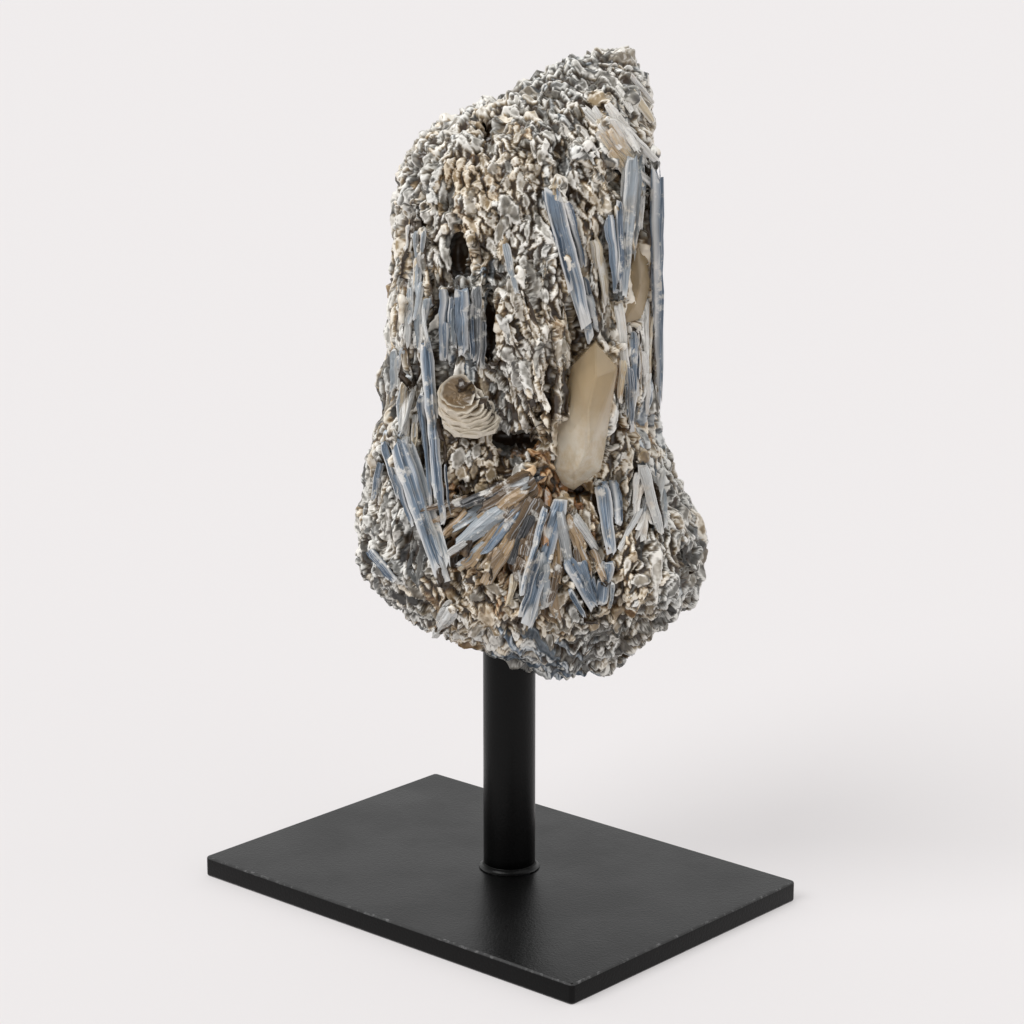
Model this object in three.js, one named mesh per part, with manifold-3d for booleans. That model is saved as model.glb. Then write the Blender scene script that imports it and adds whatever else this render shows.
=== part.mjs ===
// A kyanite blade cluster on a black steel stand.
// Millimetres, +Z up. The origin is the centre of the plate's underside, and +X runs along its long side.
import * as THREE from "three";
import { mergeVertices } from "three/addons/utils/BufferGeometryUtils.js";
import Module from "manifold-3d";

const wasm = await Module();
wasm.setup();

// Driving dimensions
const plate = { length: 150, width: 105, thickness: 6.35, cornerRadius: 1.5, edgeRadius: 0.7 };
const rod = { diameter: 15.9, x: 1.5, y: 4, socketDepth: 34, sides: 32 };
const weld = { reach: 1.2, height: 1.5, clearance: 0.3, sides: 24 };
const standGap = 0.3; // between the pieces of the stand
const stone = {
  turn: THREE.MathUtils.degToRad(41.5), // the broad front faces the plate's front right corner
  footZ: 67.5, // lowest point of the loft, above the floor
  height: 188,
  rows: 38,
  columns: 42,
  squareness: 2.5, // 2 is an ellipse, more is boxier
  socketClearance: 0.3,
  lumps: [{ height: 1.5, wave: 52 }, { height: 1, wave: 21 }], // two sizes of swelling all round
};

// Sections of the stone from its foot to its peak, as seen from its broad front: the left and right
// ends of each section as [x, z] from the rod's axis, and how far it reaches to the front and the back.
const sections = [
  { left: [13, 68.0], right: [20, 67.5], front: 5, back: 5 },
  { left: [-3, 72.5], right: [33, 72.0], front: 17, back: 15 },
  { left: [-19, 81.0], right: [41, 80.0], front: 26, back: 23 },
  { left: [-33, 89.0], right: [51, 87.5], front: 31, back: 28 },
  { left: [-41, 97.0], right: [57, 95.5], front: 34, back: 31 },
  { left: [-44.5, 106.0], right: [58.5, 104.0], front: 35.5, back: 32 },
  { left: [-45, 116.0], right: [56.5, 115.0], front: 35, back: 32 },
  { left: [-43, 125.5], right: [52, 125.0], front: 33.5, back: 31 },
  { left: [-41, 135.5], right: [48, 136.0], front: 31.5, back: 30 },
  { left: [-39, 147.0], right: [44.5, 147.0], front: 30, back: 29 },
  { left: [-37, 162.0], right: [43.5, 163.0], front: 29, back: 28 },
  { left: [-35.5, 178.0], right: [43, 180.0], front: 28.5, back: 27 },
  { left: [-33, 194.0], right: [42.5, 198.0], front: 28, back: 26 },
  { left: [-32, 208.0], right: [41.5, 216.0], front: 26.5, back: 24 },
  { left: [-31.5, 219.0], right: [41, 231.0], front: 24, back: 22 },
  { left: [-27, 227.5], right: [40.5, 241.0], front: 20, back: 19 },
  { left: [-17, 234.0], right: [39.5, 247.0], front: 15, back: 15 },
  { left: [-3, 241.0], right: [37.5, 251.0], front: 10, back: 10 },
  { left: [12, 248.5], right: [34, 254.0], front: 6, back: 6 },
  { left: [22, 253.5], right: [30, 255.5], front: 2.5, back: 2.5 },
];

// Swells and hollows of the front face: centre, spread across and up, and height out of the face.
const frontRelief = [
  { name: "hanging tongue", x: 8, z: 180, across: 11, up: 27, lift: 8 },
  { name: "upper right shoulder", x: 26, z: 222, across: 14, up: 16, lift: 2.5 },
  { name: "left columns", x: -14, z: 180, across: 5, up: 16, lift: 2.5 },
  { name: "hollow under the tongue", x: 1, z: 147, across: 8, up: 5, lift: -5 },
  { name: "fan hollow", x: 12, z: 132, across: 12, up: 9, lift: -3 },
  { name: "quartz seat", x: 25, z: 157, across: 8, up: 20, lift: -3.5 },
  { name: "right edge seat", x: 38, z: 195, across: 5, up: 16, lift: -3 },
  { name: "lower apron", x: 8, z: 97, across: 26, up: 9, lift: 2.5 },
  { name: "right hip", x: 46, z: 108, across: 10, up: 12, lift: 2.5 },
  { name: "left hip", x: -36, z: 108, across: 9, up: 13, lift: 2 },
];

// Open pits and the deep slit: centre on the front as [x, z], half sizes across, up and into the stone.
const pits = [
  { name: "slit beside the columns", at: [-5.5, 179], half: [2.4, 12, 10] },
  { name: "hollow over the columns", at: [-14.5, 199], half: [3.2, 8, 7] },
  { name: "cave under the tongue", at: [2, 146], half: [7, 3.4, 8] },
  { name: "pit near the top", at: [-6.5, 234], half: [2.6, 4, 6] },
  { name: "pit in the right hip", at: [51.5, 110], half: [3, 5, 6] },
  { name: "pit under the shoulder", at: [29, 223.5], half: [2.6, 2.4, 5] },
  { name: "nook under the quartz", at: [20, 131], half: [3, 3, 5] },
];

// Single large blades, on the front unless the back is named: both ends as [x, z], width and thickness.
const largeBlades = [
  { from: [-32.5, 146.5], to: [-18.5, 104.5], width: 7, thickness: 4 },
  { from: [-35.5, 144], to: [-33, 128], width: 3, thickness: 3 },
  { from: [-37, 139], to: [-39.5, 127], width: 3, thickness: 3 },
  { from: [-23, 176], to: [-19.5, 127], width: 4.4, thickness: 4 },
  { from: [-13, 193], to: [-12.5, 170], width: 5, thickness: 5 },
  { from: [-18, 190], to: [-18.5, 172], width: 3.4, thickness: 4 },
  { from: [-9, 192], to: [-9, 168], width: 3.6, thickness: 4.5 },
  { from: [12.3, 220], to: [22.5, 180], width: 6, thickness: 4 },
  { from: [17, 200], to: [23.5, 175], width: 4, thickness: 3.5 },
  { from: [29.2, 212], to: [32, 186], width: 3.4, thickness: 3.5 },
  { from: [34, 228], to: [32, 188], width: 4, thickness: 4 },
  { from: [39, 228], to: [41.5, 150], width: 4, thickness: 5 },
  { from: [35, 178], to: [36, 160], width: 3, thickness: 3 },
  { from: [33.5, 168], to: [34.5, 148], width: 2.6, thickness: 3 },
  { from: [19, 230], to: [34, 208], width: 5, thickness: 3.5 },
  { from: [27, 238], to: [39, 214], width: 4.5, thickness: 3.5 },
  { from: [23, 244], to: [31, 232], width: 4, thickness: 3 },
  { from: [27, 134], to: [30, 115], width: 5.4, thickness: 4 },
  { from: [15.3, 109], to: [24, 93], width: 5, thickness: 4 },
  { from: [28, 108], to: [26.4, 95], width: 4.4, thickness: 4 },
  { from: [-39.5, 113], to: [-32, 105.5], width: 3.6, thickness: 3 },
  { from: [3, 196], to: [9, 174], width: 4.6, thickness: 4 },
  { from: [0, 184], to: [6, 160], width: 4.2, thickness: 4 },
  { from: [8, 178], to: [12, 150], width: 4.4, thickness: 4.5 },
  { from: [14, 182], to: [14.5, 152], width: 4, thickness: 4 },
  { from: [3, 168], to: [10, 146], width: 3.8, thickness: 4 },
  { from: [-27, 214], to: [-28, 190], width: 4, thickness: 4 },
  { from: [-29, 186], to: [-30.5, 160], width: 4, thickness: 4 },
  { from: [-24, 206], to: [-23, 184], width: 3.4, thickness: 4 },
  { from: [38, 140], to: [44, 118], width: 5, thickness: 4 },
  { from: [-14, 100], to: [-21, 88], width: 5, thickness: 3.6 },
  { side: "back", from: [-20, 218], to: [-14, 176], width: 7, thickness: 4.5 },
  { side: "back", from: [-2, 200], to: [-6, 152], width: 6, thickness: 4.5 },
  { side: "back", from: [10, 232], to: [4, 192], width: 6, thickness: 4.5 },
  { side: "back", from: [26, 196], to: [30, 148], width: 7, thickness: 4.5 },
  { side: "back", from: [22, 146], to: [36, 108], width: 6.5, thickness: 4.5 },
  { side: "back", from: [2, 142], to: [-4, 100], width: 6, thickness: 4.5 },
  { side: "back", from: [-18, 152], to: [-30, 112], width: 6.5, thickness: 4.5 },
];

// Form of every such blade: its free end's width as a share of its root's, that end's slope, and how far
// its middle stands out of the body as a share of its thickness.
const bladeForm = { sides: 6, tip: 0.6, slant: 0.5, proud: 0.25 };

// The fan of blades that spreads down and to the left from one point under the tongue. Angles are
// measured in the front view from straight right, counter-clockwise, and reach is the distance to each tip.
const fan = {
  centre: [12, 140],
  blades: [
    { angle: 200, start: 6, reach: 29, width: 3.6, thickness: 4 },
    { angle: 209, start: 8, reach: 32, width: 4.4, thickness: 4 },
    { angle: 217, start: 9, reach: 30, width: 3.4, thickness: 4.5 },
    { angle: 224, start: 14, reach: 37, width: 4.6, thickness: 4 },
    { angle: 231, start: 10, reach: 28, width: 3.2, thickness: 4.5 },
    { angle: 237, start: 18, reach: 38, width: 3.8, thickness: 4 },
    { angle: 245, start: 9, reach: 30, width: 3, thickness: 4 },
    { angle: 252, start: 12, reach: 31, width: 4.2, thickness: 5 },
    { angle: 258, start: 25, reach: 48, width: 5.6, thickness: 5 },
    { angle: 268, start: 12, reach: 33, width: 3, thickness: 4 },
    { angle: 281, start: 12, reach: 30, width: 3.4, thickness: 4 },
    { angle: 292, start: 14, reach: 34, width: 3.2, thickness: 4 },
  ],
};

// Quartz lumps: upper and lower end on the front, girth, and how far the lump flattens into the stone.
const quartzLumps = [
  { from: [29, 176], to: [19, 134], girth: 17, flatness: 0.75 },
  { from: [37, 207], to: [39.5, 186], girth: 7, flatness: 0.7 },
];

// The lump of curved mica sheets left of the cave: centre, half sizes across, up and out, and the lean
// and sideways turn of each sheet in radians.
const micaSheets = [
  { at: [-13, 161], half: [5.5, 6, 2], lean: 0.3, turn: 0.5 },
  { at: [-11, 157.5], half: [8, 6.5, 2], lean: 0.5, turn: 0.25 },
  { at: [-8.5, 155], half: [7, 4.5, 2], lean: 0.7, turn: -0.15 },
];

// The short blades that clothe the stone all round, as ridges of the body itself. Each ridge rises from
// its root to a free lower tip, then drops to the root of the next one.
const ridges = {
  seed: 11,
  rows: [3, 6], // length, in rows of the body
  height: [-2, 2.4], // of the tip, above the smooth body
  root: 0.15, // height of the root as a share of the tip's
};

const paint = new THREE.MeshStandardMaterial({ color: 0x1b1b1b, roughness: 0.42, metalness: 0.3 });
const mineral = new THREE.MeshStandardMaterial({ color: 0xa9abad, roughness: 0.55, metalness: 0 });

// Solids

function solidOf(geometry) {
  const bare = geometry.clone();
  bare.deleteAttribute("normal");
  bare.deleteAttribute("uv");
  const merged = mergeVertices(bare, 1e-4);
  return new wasm.Manifold(
    new wasm.Mesh({
      numProp: 3,
      vertProperties: new Float32Array(merged.attributes.position.array),
      triVerts: new Uint32Array(merged.index.array),
    }),
  );
}

function geometryOf(solid) {
  const mesh = solid.getMesh();
  const geometry = new THREE.BufferGeometry();
  geometry.setAttribute("position", new THREE.BufferAttribute(mesh.vertProperties.slice(), 3));
  geometry.setIndex(new THREE.BufferAttribute(mesh.triVerts.slice(), 1));
  geometry.computeVertexNormals();
  return geometry;
}

function named(name, geometry, material) {
  const mesh = new THREE.Mesh(geometry, material);
  mesh.name = name;
  return mesh;
}

// A repeatable run of numbers from 0 to 1.
function randomRun(seed) {
  let state = seed;
  return (low = 0, high = 1) => {
    state = (state * 1664525 + 1013904223) % 4294967296;
    return low + ((high - low) * state) / 4294967296;
  };
}

// The stone's body: a loft through the sections, with swells and hollows

const sectionCurve = (end, depth) =>
  new THREE.CatmullRomCurve3(sections.map((s) => new THREE.Vector3(s[end][0], s[depth], s[end][1])));
const leftCurve = sectionCurve("left", "front");
const rightCurve = sectionCurve("right", "back");
const boxy = (v) => Math.sign(v) * Math.abs(v) ** (2 / stone.squareness);

function frontLift(x, z) {
  return frontRelief.reduce(
    (sum, r) => sum + r.lift * Math.exp(-(((x - r.x) / r.across) ** 2) - ((z - r.z) / r.up) ** 2),
    0,
  );
}

// Height of the swellings at a point, as waves that cross each other on a slant.
function lumpiness(x, y, z) {
  return stone.lumps.reduce((sum, { height, wave }) => {
    const turn = (2 * Math.PI) / wave;
    return sum + height * Math.sin(turn * (x + z / 2)) * Math.cos(turn * (y - z / 2));
  }, 0);
}

// Heights of one column of ridges, row by row from the foot to the peak.
function ridgeColumn(random) {
  const heights = [];
  while (heights.length <= stone.rows) {
    const rows = Math.round(random(...ridges.rows));
    const tip = random(...ridges.height);
    for (let row = 0; row < rows; row++) {
      heights.push(tip * THREE.MathUtils.lerp(1, ridges.root, row / (rows - 1)));
    }
  }
  return heights;
}

// The point a share of the way up, at an angle round the stone: 0 is its right, a quarter turn its back.
function bodyPoint(share, angle, ridge) {
  const left = leftCurve.getPoint(share);
  const right = rightCurve.getPoint(share);
  const across = boxy(Math.cos(angle));
  const depth = boxy(Math.sin(angle));
  const x = THREE.MathUtils.lerp(left.x, right.x, (across + 1) / 2);
  const z = THREE.MathUtils.lerp(left.z, right.z, (across + 1) / 2);
  const y = depth * (depth < 0 ? left.y : right.y);
  const fade = Math.sqrt(Math.sin(Math.PI * share)); // no relief at the foot and the peak
  const lift = fade * (ridge + lumpiness(x, y, z) + Math.max(0, -depth) * frontLift(x, z));
  return new THREE.Vector3(x + lift * across, y + lift * depth, z);
}

function bodyGeometry() {
  const { rows, columns } = stone;
  const random = randomRun(ridges.seed);
  const ridgeColumns = Array.from({ length: columns }, () => ridgeColumn(random));
  const points = [];
  const faces = [];
  for (let row = 0; row <= rows; row++) {
    for (let column = 0; column < columns; column++) {
      points.push(bodyPoint(row / rows, (2 * Math.PI * column) / columns, ridgeColumns[column][row]));
    }
  }
  const at = (row, column) => row * columns + (column % columns);
  for (let row = 0; row < rows; row++) {
    for (let column = 0; column < columns; column++) {
      const [a, b] = [at(row, column), at(row, column + 1)];
      const [c, d] = [at(row + 1, column), at(row + 1, column + 1)];
      faces.push(...((row + column) % 2 ? [a, b, d, a, d, c] : [a, b, c, b, d, c]));
    }
  }
  for (const [row, share, flip] of [[0, 0, true], [rows, 1, false]]) {
    const middle = points.length;
    points.push(leftCurve.getPoint(share).lerp(rightCurve.getPoint(share), 0.5).setY(0));
    for (let column = 0; column < columns; column++) {
      const [a, b] = [at(row, column), at(row, column + 1)];
      faces.push(...(flip ? [middle, b, a] : [middle, a, b]));
    }
  }
  const geometry = new THREE.BufferGeometry().setFromPoints(points);
  geometry.setIndex(faces);
  return geometry;
}

const body = new THREE.Mesh(bodyGeometry(), mineral);
const caster = new THREE.Raycaster();

// Where a point [x, z] of the front or back view meets the body, with its outward direction there.
function onBody([x, z], side = "front") {
  const inward = side === "front" ? 1 : -1;
  caster.set(new THREE.Vector3(x, -inward * stone.height, z), new THREE.Vector3(0, inward, 0));
  const [hit] = caster.intersectObject(body);
  if (!hit) throw new Error(`nothing of the stone is at ${x}, ${z}`);
  return { point: hit.point, normal: hit.face.normal.clone() };
}

// Crystals

// A flat blade along +Y from the origin, with its broad face to +Z and a slanted far end.
function bladeGeometry(length, width, thickness) {
  const { sides, tip, slant } = bladeForm;
  const geometry = new THREE.CylinderGeometry((tip * width) / 2, width / 2, length, sides);
  geometry.rotateY(Math.PI / sides);
  geometry.scale(1, 1, thickness / width);
  geometry.translate(0, length / 2, 0);
  const position = geometry.attributes.position;
  for (let i = 0; i < position.count; i++) {
    if (position.getY(i) > length / 2) position.setY(i, position.getY(i) + slant * position.getX(i));
  }
  return geometry;
}

// Sets a shape that points along +Y, with +Z out of the stone, at a place on it.
function seated(geometry, place, along, outward) {
  const yAxis = along.clone().normalize();
  const xAxis = new THREE.Vector3().crossVectors(yAxis, outward).normalize();
  const zAxis = new THREE.Vector3().crossVectors(xAxis, yAxis);
  return geometry.applyMatrix4(new THREE.Matrix4().makeBasis(xAxis, yAxis, zAxis).setPosition(place));
}

// A blade lies on the body from end to end, thick enough to stand out of what swells up between its ends.
function largeBlade({ from, to, width, thickness, side }) {
  const start = onBody(from, side);
  const end = onBody(to, side);
  const along = end.point.clone().sub(start.point);
  const outward = start.normal.clone().add(end.normal).normalize();
  const swell = Math.max(
    ...[0, 0.25, 0.5, 0.75].map((share) => {
      const spot = [0, 1].map((i) => THREE.MathUtils.lerp(from[i], to[i], share));
      return onBody(spot, side).point.sub(start.point).addScaledVector(along, -share).dot(outward);
    }),
  );
  const root = start.point.addScaledVector(outward, bladeForm.proud * thickness + swell / 2);
  return seated(bladeGeometry(along.length(), width, thickness + swell), root, along, outward);
}

function fanBlade({ angle, start, reach, width, thickness }) {
  const turn = THREE.MathUtils.degToRad(angle);
  const spot = (distance) => [
    fan.centre[0] + distance * Math.cos(turn),
    fan.centre[1] + distance * Math.sin(turn),
  ];
  return largeBlade({ from: spot(start), to: spot(reach), width, thickness });
}

// A seven-sided lump that swells below its middle and ends in a blunt point.
function quartzLump({ from, to, girth, flatness }) {
  const start = onBody(from);
  const end = onBody(to);
  const along = end.point.clone().sub(start.point);
  const length = along.length();
  const profile = [[0, 0], [0.55, 0.06], [0.85, 0.35], [1, 0.7], [0.7, 0.9], [0, 1]];
  const outline = profile.map(([r, h]) => new THREE.Vector2((r * girth) / 2, h * length));
  const geometry = new THREE.LatheGeometry(outline, 7).scale(1, 1, flatness);
  return seated(geometry, start.point, along, start.normal.add(end.normal));
}

function pitGeometry({ at, half }) {
  const { point } = onBody(at);
  return new THREE.IcosahedronGeometry(1, 0).scale(half[0], half[2], half[1]).translate(...point);
}

// One curved sheet of the mica lump, a flat lump that leans its lower edge out of the stone.
function micaSheet({ at, half, lean, turn }) {
  const { point, normal } = onBody(at);
  const sheet = new THREE.IcosahedronGeometry(1, 1).scale(half[0], half[2], half[1]);
  sheet.rotateX(lean).rotateY(turn);
  return sheet.translate(...point.addScaledVector(normal, half[2]));
}

// The stone, with its origin on the rod's axis at floor level

function stoneGeometry(socketTopZ) {
  let solid = solidOf(body.geometry);
  for (const pit of pits) solid = solid.subtract(solidOf(pitGeometry(pit)));
  const crystals = [
    ...largeBlades.map(largeBlade),
    ...fan.blades.map(fanBlade),
    ...quartzLumps.map(quartzLump),
    ...micaSheets.map(micaSheet),
  ];
  for (const crystal of crystals) solid = solid.add(solidOf(crystal));
  const socketRadius = rod.diameter / 2 + stone.socketClearance;
  const socket = new THREE.CylinderGeometry(socketRadius, socketRadius, socketTopZ, rod.sides);
  socket.rotateX(Math.PI / 2).translate(0, 0, socketTopZ / 2);
  return geometryOf(solid.subtract(solidOf(socket)));
}

// The stand

function plateGeometry() {
  const { length, width, thickness, cornerRadius, edgeRadius } = plate;
  const [x, y] = [length / 2 - edgeRadius, width / 2 - edgeRadius];
  const corner = cornerRadius - edgeRadius;
  const outline = new THREE.Shape();
  outline.absarc(x - corner, y - corner, corner, 0, Math.PI / 2);
  outline.absarc(corner - x, y - corner, corner, Math.PI / 2, Math.PI);
  outline.absarc(corner - x, corner - y, corner, Math.PI, 1.5 * Math.PI);
  outline.absarc(x - corner, corner - y, corner, 1.5 * Math.PI, 2 * Math.PI);
  const geometry = new THREE.ExtrudeGeometry(outline, {
    depth: thickness - 2 * edgeRadius,
    bevelSize: edgeRadius,
    bevelThickness: edgeRadius,
    bevelSegments: 2,
    curveSegments: 3,
  });
  return geometry.translate(0, 0, edgeRadius);
}

function rodGeometry(length) {
  const radius = rod.diameter / 2;
  const geometry = new THREE.CylinderGeometry(radius, radius, length, rod.sides);
  return geometry.rotateX(Math.PI / 2).translate(0, 0, length / 2);
}

// A ring of weld round the rod's foot, with a rounded outer face.
function weldGeometry() {
  const inner = rod.diameter / 2 + weld.clearance;
  const rounded = Math.SQRT1_2;
  const profile = [[0, 0], [1, 0], [rounded, rounded], [0, 1], [0, 0]];
  const outline = profile.map(([r, h]) => new THREE.Vector2(inner + r * weld.reach, h * weld.height));
  return new THREE.LatheGeometry(outline, weld.sides).rotateX(Math.PI / 2);
}

const rodFootZ = plate.thickness + standGap;
const rodTopZ = stone.footZ + rod.socketDepth;

const stand = new THREE.Group();
stand.add(named("base_plate", plateGeometry(), paint));
const onRodAxis = new THREE.Group();
onRodAxis.position.set(rod.x, rod.y, 0);
const rodMesh = named("rod", rodGeometry(rodTopZ - rodFootZ), paint);
rodMesh.position.z = rodFootZ;
const weldMesh = named("weld_bead", weldGeometry(), paint);
weldMesh.position.z = rodFootZ;
const stoneMesh = named("kyanite_stone", stoneGeometry(rodTopZ + stone.socketClearance), mineral);
stoneMesh.rotation.z = stone.turn;
onRodAxis.add(rodMesh, weldMesh, stoneMesh);

const cluster = new THREE.Group();
cluster.add(stand, onRodAxis);

export default cluster;
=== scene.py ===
import math

import bmesh
import bpy
import numpy as np
from mathutils import Matrix, Vector, noise
from mathutils.bvhtree import BVHTree
from mathutils.kdtree import KDTree


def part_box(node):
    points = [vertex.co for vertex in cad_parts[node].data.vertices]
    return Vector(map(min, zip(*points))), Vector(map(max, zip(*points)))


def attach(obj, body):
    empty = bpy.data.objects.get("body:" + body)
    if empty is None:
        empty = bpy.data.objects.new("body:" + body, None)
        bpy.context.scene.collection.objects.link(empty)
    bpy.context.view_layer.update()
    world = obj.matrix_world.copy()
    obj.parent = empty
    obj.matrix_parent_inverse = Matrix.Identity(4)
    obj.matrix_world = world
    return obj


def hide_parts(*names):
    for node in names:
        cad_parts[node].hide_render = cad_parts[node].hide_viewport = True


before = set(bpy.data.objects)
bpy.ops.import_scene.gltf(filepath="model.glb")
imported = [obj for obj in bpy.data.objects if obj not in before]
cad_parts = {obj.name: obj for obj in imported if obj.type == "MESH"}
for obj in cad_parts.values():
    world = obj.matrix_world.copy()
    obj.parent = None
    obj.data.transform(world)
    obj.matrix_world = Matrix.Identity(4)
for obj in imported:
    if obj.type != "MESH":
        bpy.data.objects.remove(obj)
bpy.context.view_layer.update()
mm = 0.001
noise.seed_set(4)  # noise_vector would start from the clock otherwise

rodLow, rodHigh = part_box("rod")
plateLow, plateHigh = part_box("base_plate")
weldLow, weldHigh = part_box("weld_bead")
rodAxis = (rodLow + rodHigh) / 2
stoneTurn = math.radians(41.5)  # the stone's broad front faces the plate's front right corner
across = Vector((math.cos(stoneTurn), math.sin(stoneTurn), 0))  # the stone's own right
inward = Vector((-math.sin(stoneTurn), math.cos(stoneTurn), 0))  # and from its front to its back
upward = Vector((0, 0, 1))
stoneAxes = np.array([across, inward, upward])
stoneFoot = np.array([rodAxis.x, rodAxis.y, 0])


# places on the stone are in millimetres: x right of the rod, y behind it, z above the floor
def stonePlace(x, y, z):
    return Vector((rodAxis.x, rodAxis.y, 0)) + (across * x + inward * y + upward * z) * mm


def toStone(points):
    return (np.asarray(points) - stoneFoot) @ stoneAxes.T / mm


def srgb(red, green, blue):
    parts = []
    for value in (red, green, blue):
        share = value / 255
        parts.append(share / 12.92 if share <= 0.04045 else ((share + 0.055) / 1.055) ** 2.4)
    return (*parts, 1.0)


tones = dict(
    white=srgb(232, 229, 223),
    pale=srgb(198, 198, 195),
    mid=srgb(148, 150, 150),
    dark=srgb(88, 91, 94),
    beige=srgb(213, 198, 171),
    tan=srgb(160, 136, 105),
    rust=srgb(178, 128, 76),
    brown=srgb(100, 81, 59),
    greyBlue=srgb(154, 162, 168),
    blue=srgb(112, 128, 145),
    deepBlue=srgb(82, 97, 114),
    smoke=srgb(58, 58, 60),
)


# small helpers for materials

def newMaterial(name):
    material = bpy.data.materials.new(name)
    material.use_nodes = True
    nodes = material.node_tree.nodes
    return material, nodes, material.node_tree.links, nodes["Principled BSDF"]


def addNode(nodes, kind, **values):
    node = nodes.new(kind)
    for key, value in values.items():
        setattr(node, key, value)
    return node


def mixColour(nodes, links, factor, first, second, blend="MIX"):
    node = addNode(nodes, "ShaderNodeMix", data_type="RGBA", blend_type=blend)
    for socket, value in ((node.inputs[0], factor), (node.inputs[6], first), (node.inputs[7], second)):
        if isinstance(value, bpy.types.NodeSocket):
            links.new(value, socket)
        else:
            socket.default_value = value
    return node.outputs[2]


def mapRange(nodes, links, value, low, high, toLow=0.0, toHigh=1.0, smooth=True):
    node = addNode(nodes, "ShaderNodeMapRange", interpolation_type="SMOOTHSTEP" if smooth else "LINEAR")
    for socket, number in zip(node.inputs[1:5], (low, high, toLow, toHigh)):
        socket.default_value = number
    links.new(value, node.inputs[0])
    return node.outputs[0]


def noiseOn(nodes, links, vector, scale, detail=3.0, roughness=0.55):
    node = addNode(nodes, "ShaderNodeTexNoise")
    node.inputs["Scale"].default_value = scale
    node.inputs["Detail"].default_value = detail
    node.inputs["Roughness"].default_value = roughness
    links.new(vector, node.inputs["Vector"])
    return node.outputs[0]


def multiplied(nodes, links, value, factor):
    node = addNode(nodes, "ShaderNodeMath", operation="MULTIPLY")
    links.new(value, node.inputs[0])
    if isinstance(factor, bpy.types.NodeSocket):
        links.new(factor, node.inputs[1])
    else:
        node.inputs[1].default_value = factor
    return node.outputs[0]


def addBump(nodes, links, height, strength, distance, shader):
    bump = addNode(nodes, "ShaderNodeBump")
    bump.inputs["Strength"].default_value = strength
    bump.inputs["Distance"].default_value = distance
    links.new(height, bump.inputs["Height"])
    links.new(bump.outputs[0], shader.inputs["Normal"])


def setSockets(shader, values):
    for key, value in values.items():
        shader.inputs[key].default_value = value


def newGroup(name, inputs, outputs):
    group = bpy.data.node_groups.new(name, "ShaderNodeTree")
    for label, kind, value in inputs:
        socket = group.interface.new_socket(label, in_out="INPUT", socket_type=kind)
        socket.default_value = value
    for label, kind in outputs:
        group.interface.new_socket(label, in_out="OUTPUT", socket_type=kind)
    start = group.nodes.new("NodeGroupInput")
    end = group.nodes.new("NodeGroupOutput")
    return group, group.nodes, group.links, start.outputs, end.inputs


def useGroup(nodes, group, **values):
    node = addNode(nodes, "ShaderNodeGroup", node_tree=group)
    for key, value in values.items():
        node.inputs[key].default_value = value
    return node


# tan and rust stains that run over the large blades and the mica
def stainGroup():
    group, nodes, links, given, result = newGroup(
        "Iron stain",
        [("Colour", "NodeSocketColor", (0.5, 0.5, 0.5, 1)), ("Scale", "NodeSocketFloat", 90.0),
         ("Amount", "NodeSocketFloat", 0.4)],
        [("Colour", "NodeSocketColor")],
    )
    place = addNode(nodes, "ShaderNodeTexCoord").outputs["Object"]
    spots = addNode(nodes, "ShaderNodeTexNoise")
    spots.inputs["Detail"].default_value = 4.0
    links.new(place, spots.inputs["Vector"])
    links.new(given["Scale"], spots.inputs["Scale"])
    mask = mapRange(nodes, links, spots.outputs[0], 0.54, 0.7)
    strength = multiplied(nodes, links, mask, given["Amount"])
    stained = mixColour(nodes, links, 1.0, given["Colour"], srgb(222, 190, 148), "MULTIPLY")
    links.new(mixColour(nodes, links, strength, given["Colour"], stained), result["Colour"])
    return group


# fine lines along a crystal, read from its own map: across it in x, along it in y
def streakGroup():
    group, nodes, links, given, result = newGroup(
        "Lengthwise streaks",
        [("Map", "NodeSocketVector", (0, 0, 0)), ("Across", "NodeSocketFloat", 9.0),
         ("Along", "NodeSocketFloat", 0.5)],
        [("Pale", "NodeSocketFloat"), ("Dark", "NodeSocketFloat"), ("Height", "NodeSocketFloat")],
    )
    scale = addNode(nodes, "ShaderNodeCombineXYZ")
    links.new(given["Across"], scale.inputs[0])
    links.new(given["Along"], scale.inputs[1])
    stretched = addNode(nodes, "ShaderNodeVectorMath", operation="MULTIPLY")
    links.new(given["Map"], stretched.inputs[0])
    links.new(scale.outputs[0], stretched.inputs[1])
    lines = noiseOn(nodes, links, stretched.outputs[0], 1.0, 4.0, 0.6)
    shifted = addNode(nodes, "ShaderNodeVectorMath", operation="ADD")
    shifted.inputs[1].default_value = (31.0, 17.0, 5.0)
    links.new(stretched.outputs[0], shifted.inputs[0])
    shadows = noiseOn(nodes, links, shifted.outputs[0], 1.7, 3.0, 0.6)
    links.new(mapRange(nodes, links, lines, 0.5, 0.68), result["Pale"])
    links.new(mapRange(nodes, links, shadows, 0.55, 0.72), result["Dark"])
    links.new(lines, result["Height"])
    return group


ironStain = stainGroup()
streaks = streakGroup()
print("node groups made")


# meshes from arrays

def meshOf(name, points, faces, smooth=False):
    mesh = bpy.data.meshes.new(name)
    points = np.asarray(points, np.float32)
    faces = np.asarray(faces, np.int32)
    sides = faces.shape[1]
    mesh.vertices.add(len(points))
    mesh.vertices.foreach_set("co", points.ravel())
    mesh.loops.add(faces.size)
    mesh.loops.foreach_set("vertex_index", faces.ravel())
    mesh.polygons.add(len(faces))
    mesh.polygons.foreach_set("loop_start", np.arange(0, faces.size, sides, dtype=np.int32))
    mesh.polygons.foreach_set("use_smooth", np.full(len(faces), smooth))
    mesh.update(calc_edges=True)
    return mesh


def meshFrom(name, body):
    mesh = bpy.data.meshes.new(name)
    body.to_mesh(mesh)
    body.free()
    return mesh


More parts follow.
